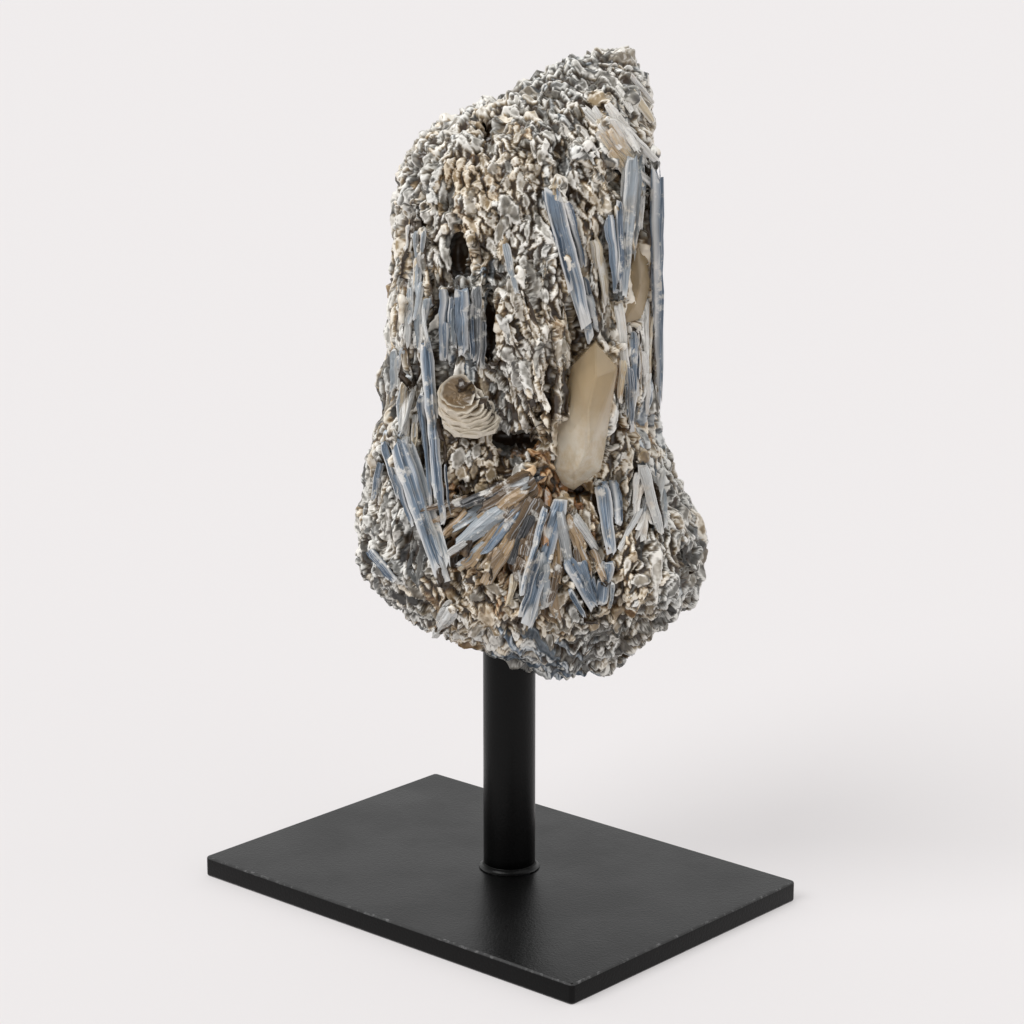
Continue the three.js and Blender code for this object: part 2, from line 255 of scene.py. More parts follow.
def addMap(mesh, name, places):
    corners = np.empty(len(mesh.loops), np.int32)
    mesh.loops.foreach_get("vertex_index", corners)
    layer = mesh.uv_layers.new(name=name)
    layer.data.foreach_set("uv", np.asarray(places, np.float32)[corners].ravel())


def addValues(mesh, name, kind, values):
    field = mesh.attributes.new(name, kind, "POINT")
    key = "color" if kind == "FLOAT_COLOR" else "value"
    field.data.foreach_set(key, np.asarray(values, np.float32).ravel())


def addPiece(name, mesh, material, node):
    piece = bpy.data.objects.new(name, mesh)
    bpy.context.scene.collection.objects.link(piece)
    mesh.materials.clear()
    mesh.materials.append(material)
    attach(piece, "root")
    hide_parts(node)


# the ground the crystals grow on: the solid stone, evened out and eased

seat = dict(voxel=1.2 * mm, easing=3)
furrows = dict(depth=2.1 * mm, wide=5.2, tall=24.0, fine=0.7, finer=2.3, gain=1.5, grainAbove=212.0, lump=7.5)
# how far the ground lies inside the solid: on its sides, less near the top, more at the shoulder high on the
# right. The lower rim is raised, most on the left
setIn = dict(sides=1.9 * mm, upTo=(202.0, 224.0), topShare=0.15, crown=0.7 * mm,
             shoulder=2.4 * mm, shoulderAt=218.0, shoulderTall=9.0, shoulderFrom=(24, 36),
             below=100.0, fade=32.0, rise=2.6 * mm, riseFrom=(-12, 10), riseShare=(1.6, 0.1))


def evened(voxel, easing):
    work = bpy.data.objects.new("seat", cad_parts["kyanite_stone"].data.copy())
    bpy.context.scene.collection.objects.link(work)
    remesh = work.modifiers.new("even", "REMESH")
    remesh.mode = "VOXEL"
    remesh.voxel_size = voxel
    ease = work.modifiers.new("ease", "SMOOTH")
    ease.factor = 0.5
    ease.iterations = easing
    bpy.context.view_layer.update()
    graph = bpy.context.evaluated_depsgraph_get()
    mesh = bpy.data.meshes.new_from_object(work.evaluated_get(graph))
    bpy.data.objects.remove(work)
    mesh.calc_loop_triangles()
    points = np.empty(len(mesh.vertices) * 3)
    mesh.vertices.foreach_get("co", points)
    normals = np.empty(len(mesh.vertices) * 3, np.float32)
    mesh.vertices.foreach_get("normal", normals)
    corners = np.empty(len(mesh.loop_triangles) * 3, np.int32)
    mesh.loop_triangles.foreach_get("vertices", corners)
    bpy.data.meshes.remove(mesh)
    return points.reshape(-1, 3), normals.reshape(-1, 3).astype(float), corners.reshape(-1, 3)


# upright furrows on the sides and round lumps near the top, from -1 in the furrows to 1 on the crests
def reliefOf(place):
    x, y, z = place
    wide, finer = furrows["wide"], furrows["finer"]
    tall = furrows["lump"] if z > furrows["grainAbove"] else furrows["tall"]
    broad = noise.noise(Vector((x / wide, y / wide, z / tall)))
    fine = noise.noise(Vector((x * finer / wide + 9, y * finer / wide, z * finer / tall)))
    return max(-1.0, min(1.0, furrows["gain"] * (broad + furrows["fine"] * fine)))


def furrowed(points, normals):
    local = toStone(points)
    relief = np.array([reliefOf(place) for place in local])
    up = np.clip(normals[:, 2], 0, 1)
    sides = setIn["sides"] * np.interp(local[:, 2], setIn["upTo"], (1, setIn["topShare"]))
    level = (local[:, 2] - setIn["shoulderAt"]) / setIn["shoulderTall"]
    sides += setIn["shoulder"] * np.exp(-level ** 2) * np.interp(local[:, 0], setIn["shoulderFrom"], (0, 1))
    shift = relief * furrows["depth"] - sides * (1 - up) + setIn["crown"] * up
    points = points + normals * shift[:, None]
    low = np.clip((setIn["below"] - local[:, 2]) / setIn["fade"], 0, 1)
    points[:, 2] += low ** 2 * setIn["rise"] * np.interp(local[:, 0], setIn["riseFrom"], setIn["riseShare"])
    return points, relief


seatPoints, seatNormals, seatFaces = evened(**seat)
seatPoints, seatRelief = furrowed(seatPoints, seatNormals)
seatTree = BVHTree.FromPolygons([Vector(p) for p in seatPoints], seatFaces.tolist())
print("seat made with", len(seatFaces), "triangles")


def onStone(x, z, side=-1):  # side is -1 on the front and 1 on the back
    farOff = 200 * side
    hit = seatTree.ray_cast(stonePlace(x, farOff, z), inward * -side)
    return (hit[0], hit[1]) if hit[0] else (None, None)


# the looks of small crystals, as middle value and spread: hue runs from blue at 0 over grey to beige and rust
# at 1, and light from dark at 0 to white past 1
looks = dict(
    greyGrain=dict(hue=(0.48, 0.05), light=(1.16, 0.36)),
    darkGrain=dict(hue=(0.45, 0.05), light=(0.8, 0.36)),
    whiteGrain=dict(hue=(0.51, 0.05), light=(1.28, 0.36)),
    beigeGrain=dict(hue=(0.61, 0.07), light=(1.14, 0.36)),
    beigeBlade=dict(hue=(0.57, 0.07), light=(1.6, 0.3)),
    paleBlade=dict(hue=(0.52, 0.07), light=(1.26, 0.38)),
    blueBlade=dict(hue=(0.31, 0.10), light=(1.0, 0.34)),
    tongueFlake=dict(hue=(0.55, 0.06), light=(1.5, 0.36)),
    fanFill=dict(hue=(0.76, 0.08), light=(0.62, 0.28)),
    rustFill=dict(hue=(0.9, 0.05), light=(0.95, 0.26)),
    rimNodule=dict(hue=(0.46, 0.05), light=(0.9, 0.38)),
    apronGrain=dict(hue=(0.62, 0.08), light=(1.1, 0.36)),
)
sizes = dict(  # length, width and thickness in millimetres
    grain=((3.6, 7.6), (1.5, 2.5), (1.5, 2.8)),
    flake=((4.4, 9.0), (1.6, 3.0), (1.6, 2.8)),
    blade=((6, 14), (1.3, 2.6), (1.4, 2.6)),
    longBlade=((8, 16), (1.6, 2.8), (1.5, 2.6)),
    nodule=((3.4, 8.4), (1.4, 2.6), (1.5, 2.6)),
    chunk=((3.6, 7.0), (2.0, 3.6), (1.7, 3.0)),
)


# zones of the front, by their centre and reach in millimetres. Each has a look, the sizes of its crystals,
# their heading in the front view (0 right, 90 up, 270 down) and how far they wander from it. A zone with
# front set isn't repeated on the back
def zoneAt(at, reach, look, size, heading, wander, front=False):
    return dict(at=at, reach=reach, look=look, size=size, heading=heading, wander=wander, front=front)


zones = [
    zoneAt((-20, 238), (20, 6), "greyGrain", "grain", 270, 70),
    zoneAt((8, 249), (20, 7), "darkGrain", "grain", 300, 70),
    zoneAt((32, 256), (9, 6), "whiteGrain", "grain", 310, 60),
    zoneAt((-27, 220), (6, 16), "greyGrain", "grain", 268, 30),
    zoneAt((-12, 224), (11, 13), "beigeGrain", "flake", 275, 34),
    zoneAt((-3, 212), (7, 10), "beigeGrain", "chunk", 280, 40),
    zoneAt((12, 236), (9, 10), "greyGrain", "grain", 290, 46),
    zoneAt((10, 219), (9, 12), "whiteGrain", "flake", 285, 34),
    zoneAt((15, 228), (5, 7), "darkGrain", "grain", 290, 50),
    zoneAt((27, 236), (6, 8), "beigeBlade", "longBlade", 308, 10),
    zoneAt((34, 226), (6, 10), "beigeBlade", "longBlade", 303, 10),
    zoneAt((23, 222), (6, 9), "beigeBlade", "longBlade", 303, 8),
    zoneAt((39, 242), (4, 14), "greyGrain", "grain", 280, 25),
    zoneAt((42, 215), (4, 20), "paleBlade", "blade", 268, 8),
    zoneAt((-32, 186), (7, 22), "paleBlade", "blade", 266, 14),
    zoneAt((-36, 158), (7, 18), "paleBlade", "blade", 262, 16),
    zoneAt((-27, 190), (4, 14), "beigeGrain", "blade", 268, 14),
    zoneAt((-18, 206), (4, 12), "darkGrain", "blade", 270, 20),
    zoneAt((-12, 182), (5, 9), "blueBlade", "blade", 270, 6),
    zoneAt((-25, 165), (5, 14), "paleBlade", "blade", 264, 16),
    zoneAt((6, 202), (9, 10), "whiteGrain", "flake", 280, 30),
    zoneAt((3, 187), (8, 9), "tongueFlake", "flake", 284, 24),
    zoneAt((5, 168), (9, 12), "tongueFlake", "flake", 288, 16),
    zoneAt((9, 153), (7, 8), "tongueFlake", "flake", 282, 14),
    zoneAt((19, 190), (5, 14), "beigeBlade", "blade", 278, 10),
    zoneAt((30, 200), (6, 15), "paleBlade", "blade", 272, 8),
    zoneAt((37, 172), (4, 20), "beigeBlade", "blade", 272, 8),
    zoneAt((42, 165), (3, 24), "blueBlade", "longBlade", 272, 5),
    zoneAt((-2, 156), (4, 8), "darkGrain", "flake", 292, 26),
    zoneAt((-11, 143), (8, 6), "beigeGrain", "chunk", 265, 40),
    zoneAt((-30, 130), (7, 12), "greyGrain", "blade", 262, 22),
    zoneAt((-29, 118), (6, 8), "darkGrain", "blade", 265, 22),
    zoneAt((-43, 118), (5, 18), "rimNodule", "nodule", 278, 22),
    zoneAt((-35, 97), (9, 8), "rimNodule", "nodule", 318, 22),
    zoneAt((0, 124), (15, 12), "fanFill", "flake", "fan", 26, front=True),
    zoneAt((11, 136), (4, 7), "rustFill", "flake", "fan", 14, front=True),
    zoneAt((-3, 97), (2.6, 4), "rustFill", "grain", 270, 30, front=True),
    zoneAt((0, 88), (7, 4), "beigeBlade", "chunk", 275, 40),
    zoneAt((-17, 100), (9, 7), "apronGrain", "nodule", 300, 40),
    zoneAt((-4, 92), (9, 6), "beigeGrain", "chunk", 280, 50),
    zoneAt((16, 94), (9, 6), "beigeGrain", "chunk", 270, 50),
    zoneAt((8, 80), (12, 8), "blueBlade", "longBlade", 300, 20),
    zoneAt((24, 118), (9, 12), "apronGrain", "flake", 284, 16),
    zoneAt((38, 128), (8, 12), "paleBlade", "blade", 252, 18),
    zoneAt((38, 144), (5, 7), "beigeGrain", "nodule", 250, 40),
    zoneAt((47, 134), (5, 14), "greyGrain", "nodule", 285, 24),
    zoneAt((56, 112), (6, 14), "rimNodule", "nodule", 262, 20),
    zoneAt((46, 94), (10, 8), "rimNodule", "nodule", 226, 18),
    zoneAt((33, 101), (7, 6), "apronGrain", "chunk", 240, 35),
    zoneAt((27, 83), (9, 6), "rimNodule", "nodule", 215, 20),
    zoneAt((43, 112), (6, 9), "paleBlade", "blade", 248, 22),
]
# painted shade: no crystals grow in these openings, so the dark of the gaps shows there, and crystals round
# them are painted darker
pits = [  # openings where the ground stays dark: centre and reach in the front view
    dict(at=(-5.5, 179), reach=(2.6, 11), open=0.62),
    dict(at=(-14.5, 199), reach=(3.4, 8), open=0.8),
    dict(at=(2, 146), reach=(7, 3.4), open=0.5),
    dict(at=(-6.5, 234), reach=(2.8, 4)),
    dict(at=(51.5, 110), reach=(3.2, 5)),
    dict(at=(29, 223.5), reach=(2.6, 2.4)),
    dict(at=(20, 131), reach=(3, 3)),
]
fanCentre = np.array((12.0, 140.0))


def nearness(places, at, reach):
    return np.exp(-(((places - np.array(at)) / np.array(reach)) ** 2).sum(axis=1))


# large blades on the stone: both ends in the front view, width and thickness in millimetres, and tone
def largeBlade(start, end, wide, thick, tone, **more):
    return dict(start=start, end=end, wide=wide, thick=thick, tone=tone, **more)


largeBlades = [
    largeBlade((-32.5, 147), (-18.5, 104.5), 7.2, 4.2, "blue"),
    largeBlade((-29, 146), (-17, 110), 4.2, 3.4, "greyBlue"),
    largeBlade((-36, 145), (-31, 128), 2.8, 2.8, "blue"),
    largeBlade((-37, 139), (-39.5, 126), 2.8, 2.8, "blue"),
    largeBlade((-23.5, 177), (-19.5, 127), 4.4, 4, "blue"),
    largeBlade((-21, 152), (-17.5, 122), 3.4, 3, "blue"),
    largeBlade((-13, 193), (-12.5, 171), 5.2, 5, "blue"),
    largeBlade((-17.6, 191), (-18.3, 170), 3.4, 4, "blue"),
    largeBlade((-9, 193), (-9.2, 168), 3.6, 4.5, "dark"),
    largeBlade((12.2, 220.5), (22.5, 180), 6.4, 4, "blue"),
    largeBlade((16.5, 202), (23.6, 175), 4.2, 3.6, "blue"),
    largeBlade((29, 213), (32, 186), 3.6, 3.6, "blue"),
    largeBlade((34.2, 229), (32, 187), 4.4, 4.2, "greyBlue"),
    largeBlade((31, 216), (31.5, 190), 2.6, 3.6, "deepBlue"),
    largeBlade((39.6, 227), (41.6, 150), 4.0, 4.4, "blue"),
    largeBlade((35, 178), (36, 158), 3, 3, "blue"),
    largeBlade((33.5, 169), (34.6, 148), 2.6, 3, "deepBlue"),
    largeBlade((27, 135), (30.2, 114), 5.4, 4, "blue"),
    largeBlade((15.3, 114), (23.4, 98), 4.8, 4, "blue"),
    largeBlade((20.5, 114), (25, 99), 4.2, 3.6, "blue"),
    largeBlade((28.5, 113), (26.4, 99), 4.6, 4, "blue"),
    largeBlade((-40, 113.5), (-32, 105), 3.4, 3, "deepBlue"),
    largeBlade((0.2, 204), (3.5, 190), 2.6, 3, "greyBlue"),
    largeBlade((24, 206), (28, 184), 3, 3, "beige"),
    largeBlade((31, 186), (34, 160), 3.4, 3.2, "white"),
    largeBlade((38, 186), (39, 160), 3, 3, "tan"),
    largeBlade((-14, 101), (-21, 88), 5, 3.4, "pale"),
    largeBlade((38, 140), (44, 118), 4.2, 3.4, "pale"),
    largeBlade((13.7, 131), (3.2, 94), 5.8, 5, "blue", proud=2.4),
]
# sheaves of thinner blades: centre and reach, heading and its wander in degrees, length and width
sheaves = [
    dict(at=(31, 231), reach=(5, 8), heading=306, wander=5, count=30, long=(8, 17), wide=(1.5, 3.0),
         tones=["beige", "white", "white"]),
    dict(at=(37, 214), reach=(2.2, 10), heading=272, wander=5, count=14, long=(8, 18), wide=(1.3, 2.4),
         tones=["white", "greyBlue", "beige"]),
    dict(at=(36, 172), reach=(3, 13), heading=272, wander=5, count=14, long=(8, 18), wide=(1.3, 2.4),
         tones=["white", "white", "beige"]),
    dict(at=(39, 126), reach=(4, 8), heading=254, wander=10, count=12, long=(7, 14), wide=(1.4, 2.6),
         tones=["pale", "greyBlue", "white"]),
    dict(at=(-25.5, 190), reach=(2.6, 17), heading=267, wander=6, count=18, long=(7, 15), wide=(1.3, 2.4),
         tones=["pale", "beige", "white", "greyBlue"]),
    dict(at=(-29.5, 158), reach=(2.6, 11), heading=264, wander=7, count=14, long=(7, 15), wide=(1.3, 2.6),
         tones=["pale", "beige", "white", "greyBlue"]),
]
buriedTones = ("white", "beige", "pale", "tan")  # large blades of these tones are half covered by small ones


# the fan under the tongue: heading, first and last distance from its centre, width, thickness, tone
def fanBlade(heading, start, end, wide, thick, tone):
    return dict(heading=heading, start=start, end=end, wide=wide, thick=thick, tone=tone)


fanBlades = [
    fanBlade(200, 2, 31, 3.6, 4.6, "smoke"),
    fanBlade(203, 6, 27, 3.2, 5, "mid"),
    fanBlade(209, 5, 24, 7, 4.4, "brown"),
    fanBlade(217, 8, 26, 5.4, 4.8, "tan"),
    fanBlade(213, 20, 35, 4.2, 4.4, "greyBlue"),
    fanBlade(221, 17, 36, 5.6, 5, "greyBlue"),
    fanBlade(226, 7, 21, 5.4, 4, "brown"),
    fanBlade(230, 20, 39, 5, 4.6, "tan"),
    fanBlade(234, 14, 32, 3.6, 5, "blue"),
    fanBlade(240, 9, 24, 5, 4, "brown"),
    fanBlade(241, 21, 40, 5, 4.4, "tan"),
    fanBlade(248, 13, 30, 3.8, 5, "smoke"),
    fanBlade(252, 10, 27, 4.6, 4.4, "brown"),
    fanBlade(263, 22, 47, 3.8, 4.8, "greyBlue"),
    fanBlade(267, 8, 24, 4, 4, "rust"),
    fanBlade(273, 14, 34, 3.4, 4, "tan"),
    fanBlade(282, 12, 32, 3.6, 4, "mid"),
    fanBlade(291, 14, 34, 3.2, 4, "tan"),
]


def fanEnds(blade):
    turn = math.radians(blade["heading"])
    first = fanCentre + np.array((math.cos(turn), math.sin(turn))) * blade["start"]
    turn += math.radians(blade.get("stray", 0))
    return first, first + np.array((math.cos(turn), math.sin(turn))) * (blade["end"] - blade["start"])


# the quartz lumps, in millimetres: their line and girth in the front view, the corners of their outline
# there, and the crests between which their flat faces lie, each with its height over the stone
quartzLumps = [
    dict(start=(25.6, 175), end=(19.4, 132.5), girth=16, depth=15, buried=6, seed=5, veils=14,
         outline=[(18, 169), (15.3, 154.5), (12.5, 146), (13, 138), (15.3, 133.5), (18.5, 132), (26.2, 138.5),
                  (27.2, 143.5), (28.1, 150), (28.7, 154.5), (29.9, 162), (30.8, 169), (24.5, 176)],
         crests=[(24.5, 167, 5), (22.3, 158, 8), (17.6, 150, 5.6), (22.6, 147.5, 9.8), (19.4, 140, 8.2),
                 (25.6, 152.5, 6.2)]),
    dict(start=(38.5, 203), end=(35.5, 180), girth=8, depth=6, buried=4, seed=9, veils=3,
         outline=[(37, 202.5), (40.6, 200), (41, 191), (38.2, 180.5), (32.8, 179.5), (32.2, 185.5),
                  (34.4, 194.5)],
         crests=[(37.6, 191, 3.4), (35.8, 184.5, 3)]),
]


def lumpLine(lump):  # the middle part of a lump, without its rounded ends
    start, end = np.array(lump["start"]), np.array(lump["end"])
    ends = (end - start) * 0.45 * lump["girth"] / np.linalg.norm(end - start)
    return start + ends, end - ends


def besideLine(places, start, end):
    start, end = np.array(start, float), np.array(end, float)
    line = end - start
    share = np.clip(((places - start) @ line) / (line @ line), 0, 1)
    return np.linalg.norm(places - start - share[:, None] * line, axis=1)


# the many small crystals: lumps and blades that stand out of one fine surface

crystals = dict(seed=7, tries=260000, closeness=0.74, cell=3.0 * mm, sizeSpread=0.3, widest=1.6,
                swirl=26, swirlWide=13.0, patchWide=9.0, patchHue=0.15, reliefPaintedLight=0.42,
                lightest=1.6, darkest=0.1)
# the crust paints shade into the gaps between crystals and into the creases where two crystals meet
crust = dict(voxel=0.45 * mm, easing=20, inset=0.9 * mm, highest=1.9 * mm, lowest=0.12 * mm,
             warp=0.55 * mm, warpSize=2.3 * mm, side=0.36 * mm, creaseShadeWidth=0.75 * mm,
             thickness=(0.5, 2.0), ridge=(-0.3, 0.9), ridgeShift=0.3,
             grit=0.14 * mm, gritSize=0.9 * mm, gritShade=0.38, gapShade=0.06, gapHue=0.6)
# painted highlights on the pale rims of the small crystals
rimHighlightLook = dict(edge=(0.1, 0.28, 0.5, 0.85), pale=(0, 1, 0.85, 0), gain=0.75)  # edge in mm from the outline
# what stays clear of small crystals: shares of a piece's width, and round the rod in millimetres
clearance = dict(blade=0.3, buriedEnd=0.1, quartz=0.38, mica=0.5, rodRadius=9.2, rodTop=103)
# painted light on the ground under the quartz
quartzBedLight = dict(share=0.36, behind=5, cloudSize=5.0, shade=0.76, shadeLow=0.2, shadeCloud=0.3,
                 hue=0.66, hueLow=-0.1, hueCloud=0.08)
facings = dict(front=0.3, back=0.15)  # a seat counts as front or back by the inward part of its normal
mirror = dict(shift=8, squeeze=0.9)  # the hidden back repeats the front's zones, mirrored
levels = dict(names=("lower", "middle", "upper"), heights=(135, 190))  # where the crust is cut, in mm
stance = dict(  # how square an outline is and how it narrows, then its rise and roll in degrees
    grain=dict(square=1.45, narrow=0.42, rise=(0, 32), roll=34),
    flake=dict(square=1.5, narrow=0.5, rise=(2, 20), roll=26),
    blade=dict(square=1.9, narrow=0.4, rise=(0, 9), roll=30),
    longBlade=dict(square=2.2, narrow=0.3, rise=(0, 5), roll=24),
    nodule=dict(square=1.6, narrow=0.3, rise=(0, 24), roll=32),
    chunk=dict(square=1.6, narrow=0.35, rise=(2, 24), roll=30),
)


def scatterSeats(rng):
    corners = seatPoints[seatFaces]
    areas = np.linalg.norm(np.cross(corners[:, 1] - corners[:, 0], corners[:, 2] - corners[:, 0]), axis=1)
    chosen = rng.choice(len(seatFaces), crystals["tries"], p=areas / areas.sum())
    parts = rng.dirichlet((1, 1, 1), crystals["tries"])
    points = (corners[chosen] * parts[:, :, None]).sum(axis=1)
    normals = (seatNormals[seatFaces[chosen]] * parts[:, :, None]).sum(axis=1)
    normals /= np.linalg.norm(normals, axis=1, keepdims=True)
    return points, normals, (seatRelief[seatFaces[chosen]] * parts).sum(axis=1)


# which zone each seat belongs to, drawn by how near the zones are
def zoneOfSeats(rng, local, facing):
    places = local[:, [0, 2]].copy()
    behind = facing[:, 1] > facings["back"]
    places[behind, 0] = mirror["shift"] - mirror["squeeze"] * places[behind, 0]
    weights = np.stack([nearness(places, z["at"], z["reach"]) for z in zones], axis=1) + 1e-9
    for i, zone in enumerate(zones):
        if zone["front"]:
            weights[behind, i] = 1e-12
    total = weights.cumsum(axis=1)
    return (rng.random(len(local))[:, None] * total[:, -1:] > total).sum(axis=1)


def clearOfLargePieces(local, facing):
    places = local[:, [0, 2]]
    front = facing[:, 1] < facings["front"]
    clear = np.ones(len(local), bool)
    for blade in largeBlades:
        if blade["tone"] in buriedTones:
            continue
        start, end = np.array(blade["start"]), np.array(blade["end"])
        buried = clearance["buriedEnd"] * (end - start)  # its upper end comes out from under the grains
        clear &= ~(front & (besideLine(places, start + buried, end) < clearance["blade"] * blade["wide"]))
    for blade in fanBlades:
        clear &= ~(front & (besideLine(places, *fanEnds(blade)) < clearance["blade"] * blade["wide"]))
    for lump in quartzLumps:
        clear &= ~(front & (besideLine(places, *lumpLine(lump)) < clearance["quartz"] * lump["girth"]))
    for sheet in micaSheets:
        clear &= ~(front & (nearness(places, sheet["at"], sheet["half"]) > clearance["mica"]))
    for pit in pits:
        clear &= ~(front & (nearness(places, pit["at"], pit["reach"]) > pit.get("open", 1)))
    overRod = np.linalg.norm(local[:, :2], axis=1) < clearance["rodRadius"]
    return clear & ~(overRod & (local[:, 2] < clearance["rodTop"]))


# keeps a seat only if no kept one is too near, looking in the cells of a grid round it
def thinOut(points, gaps, cell):
    kept = []
    grid = {}
    reach = range(-1, 2)
    for index in range(len(points)):
        point, gap = points[index], gaps[index]
        home = tuple((point // cell).astype(int))
        close = False
        for i in reach:
            for j in reach:
                for k in reach:
                    for other in grid.get((home[0] + i, home[1] + j, home[2] + k), ()):
                        apart = point - points[other]
                        if apart @ apart < (gap * min(1.0, gaps[other] / gap * 1.4)) ** 2:
                            close = True
        if not close:
            grid.setdefault(home, []).append(index)
            kept.append(index)
    return np.array(kept)


# nothing on the stone is quite straight: points drift with a noise field
def warped(points, amount, size):
    drift = [noise.noise_vector(Vector(point) / size) for point in points]
    return points + np.array(drift) * amount


def unit(rows):
    return rows / np.maximum(np.linalg.norm(rows, axis=1, keepdims=True), 1e-12)


def seatCrystals(rng):
    points, normals, relief = scatterSeats(rng)
    local = toStone(points)
    facing = normals @ stoneAxes.T
    clear = clearOfLargePieces(local, facing)
    seats = (points, normals, local, facing, relief)
    points, normals, local, facing, relief = (rows[clear] for rows in seats)
    zone = zoneOfSeats(rng, local, facing)
    limits = np.array([sizes[z["size"]] for z in zones])[zone]
    size = limits[:, :, 0] + (limits[:, :, 1] - limits[:, :, 0]) * rng.random((len(points), 3))
    spread = np.clip(rng.normal(0, 1, len(points)), -crystals["widest"], crystals["widest"])
    size *= np.exp(crystals["sizeSpread"] * spread)[:, None]
    kept = thinOut(points, crystals["closeness"] * np.sqrt(size[:, 0] * size[:, 1]) * mm, crystals["cell"])
    print("crystals seated:", len(kept))
    return (rows[kept] for rows in (points, normals, local, facing, relief, zone, size * mm))


def lookOfCrystals(rng, local, facing, relief, zone):
    hues = np.array([looks[z["look"]]["hue"] for z in zones])[zone]
    lights = np.array([looks[z["look"]]["light"] for z in zones])[zone]
    patch = np.array([noise.noise(Vector(place) / crystals["patchWide"]) for place in local])
    hue = hues[:, 0] + hues[:, 1] * rng.normal(0, 1, len(zone))
    hue += crystals["patchHue"] * np.maximum(patch, -0.25)
    # painted light and shade: crystals on the crests of the relief are lighter, those in its furrows darker
    light = lights[:, 0] + lights[:, 1] * rng.normal(0, 1, len(zone)) + crystals["reliefPaintedLight"] * relief
    # painted shade: crystals round the pits are darker
    for pit in pits:
        inPit = nearness(local[:, [0, 2]], pit["at"], pit["reach"]) * (facing[:, 1] < facings["front"])
        light *= 1 - np.clip(1.5 * inPit - 0.3, 0, 0.85)
    return hue, np.clip(light, crystals["darkest"], crystals["lightest"])


def flowOfCrystals(rng, local, normals, zone):
    heading = np.array([0 if z["heading"] == "fan" else z["heading"] for z in zones], float)[zone]
    fan = np.array([z["heading"] == "fan" for z in zones])[zone]
    ray = local[:, [0, 2]] - fanCentre
    heading[fan] = np.degrees(np.arctan2(ray[fan, 1], ray[fan, 0]))
    wander = np.array([z["wander"] for z in zones], float)[zone]
    swirl = np.array([noise.noise(Vector(place) / crystals["swirlWide"]) for place in local])
    swirl *= crystals["swirl"]
    swirl *= np.where(wander < 20, 0.5, 1)  # less where the blades lie in order
    turn = np.radians(heading + swirl + wander * np.clip(rng.normal(0, 0.6, len(zone)), -1.5, 1.5))
    flow = np.outer(np.cos(turn), across) + np.outer(np.sin(turn), upward)
    return unit(flow - normals * (flow * normals).sum(axis=1, keepdims=True))


# painted light: the ground under the quartz is painted pale, paler towards the lump's lower end, so that
# light seems to come back through it
def paintLightUnderQuartz(spots, shade, tint):
    for lump in quartzLumps:
        apart = besideLine(spots[:, [0, 2]], *lumpLine(lump))
        bed = (apart < quartzBedLight["share"] * lump["girth"]) & (spots[:, 1] < quartzBedLight["behind"])
        low = np.clip((lump["start"][1] - spots[:, 2]) / (lump["start"][1] - lump["end"][1]), 0, 1)
        places = [Vector(spot) / quartzBedLight["cloudSize"] for spot in spots[bed]]
        clouds = np.array([noise.fractal(place, 1.0, 2.0, 3) for place in places])
        shade[bed] = quartzBedLight["shade"] + quartzBedLight["shadeLow"] * low[bed] + quartzBedLight["shadeCloud"] * clouds
        tint[bed] = quartzBedLight["hue"] + quartzBedLight["hueLow"] * low[bed] + quartzBedLight["hueCloud"] * clouds


# the crust is cut into pieces by height and side
def cutCrust(surface, outward, faces, places):
    third = np.digitize(toStone(surface)[faces[:, 0], 2], levels["heights"])
    back = (outward[faces[:, 0]] @ np.array(inward)) > 0
    for number, level in enumerate(levels["names"]):
        for behind in (False, True):
            name = f"crystals_{'back' if behind else 'front'}_{level}"
            used, corners = np.unique(faces[(third == number) & (back == behind)], return_inverse=True)
            mesh = meshOf(name, surface[used], corners.reshape(-1, 3), smooth=True)
            addMap(mesh, "OFBake", places[used])
            addPiece(name, mesh, grainMaterial, "kyanite_stone")
            print(name, len(mesh.polygons), "triangles")


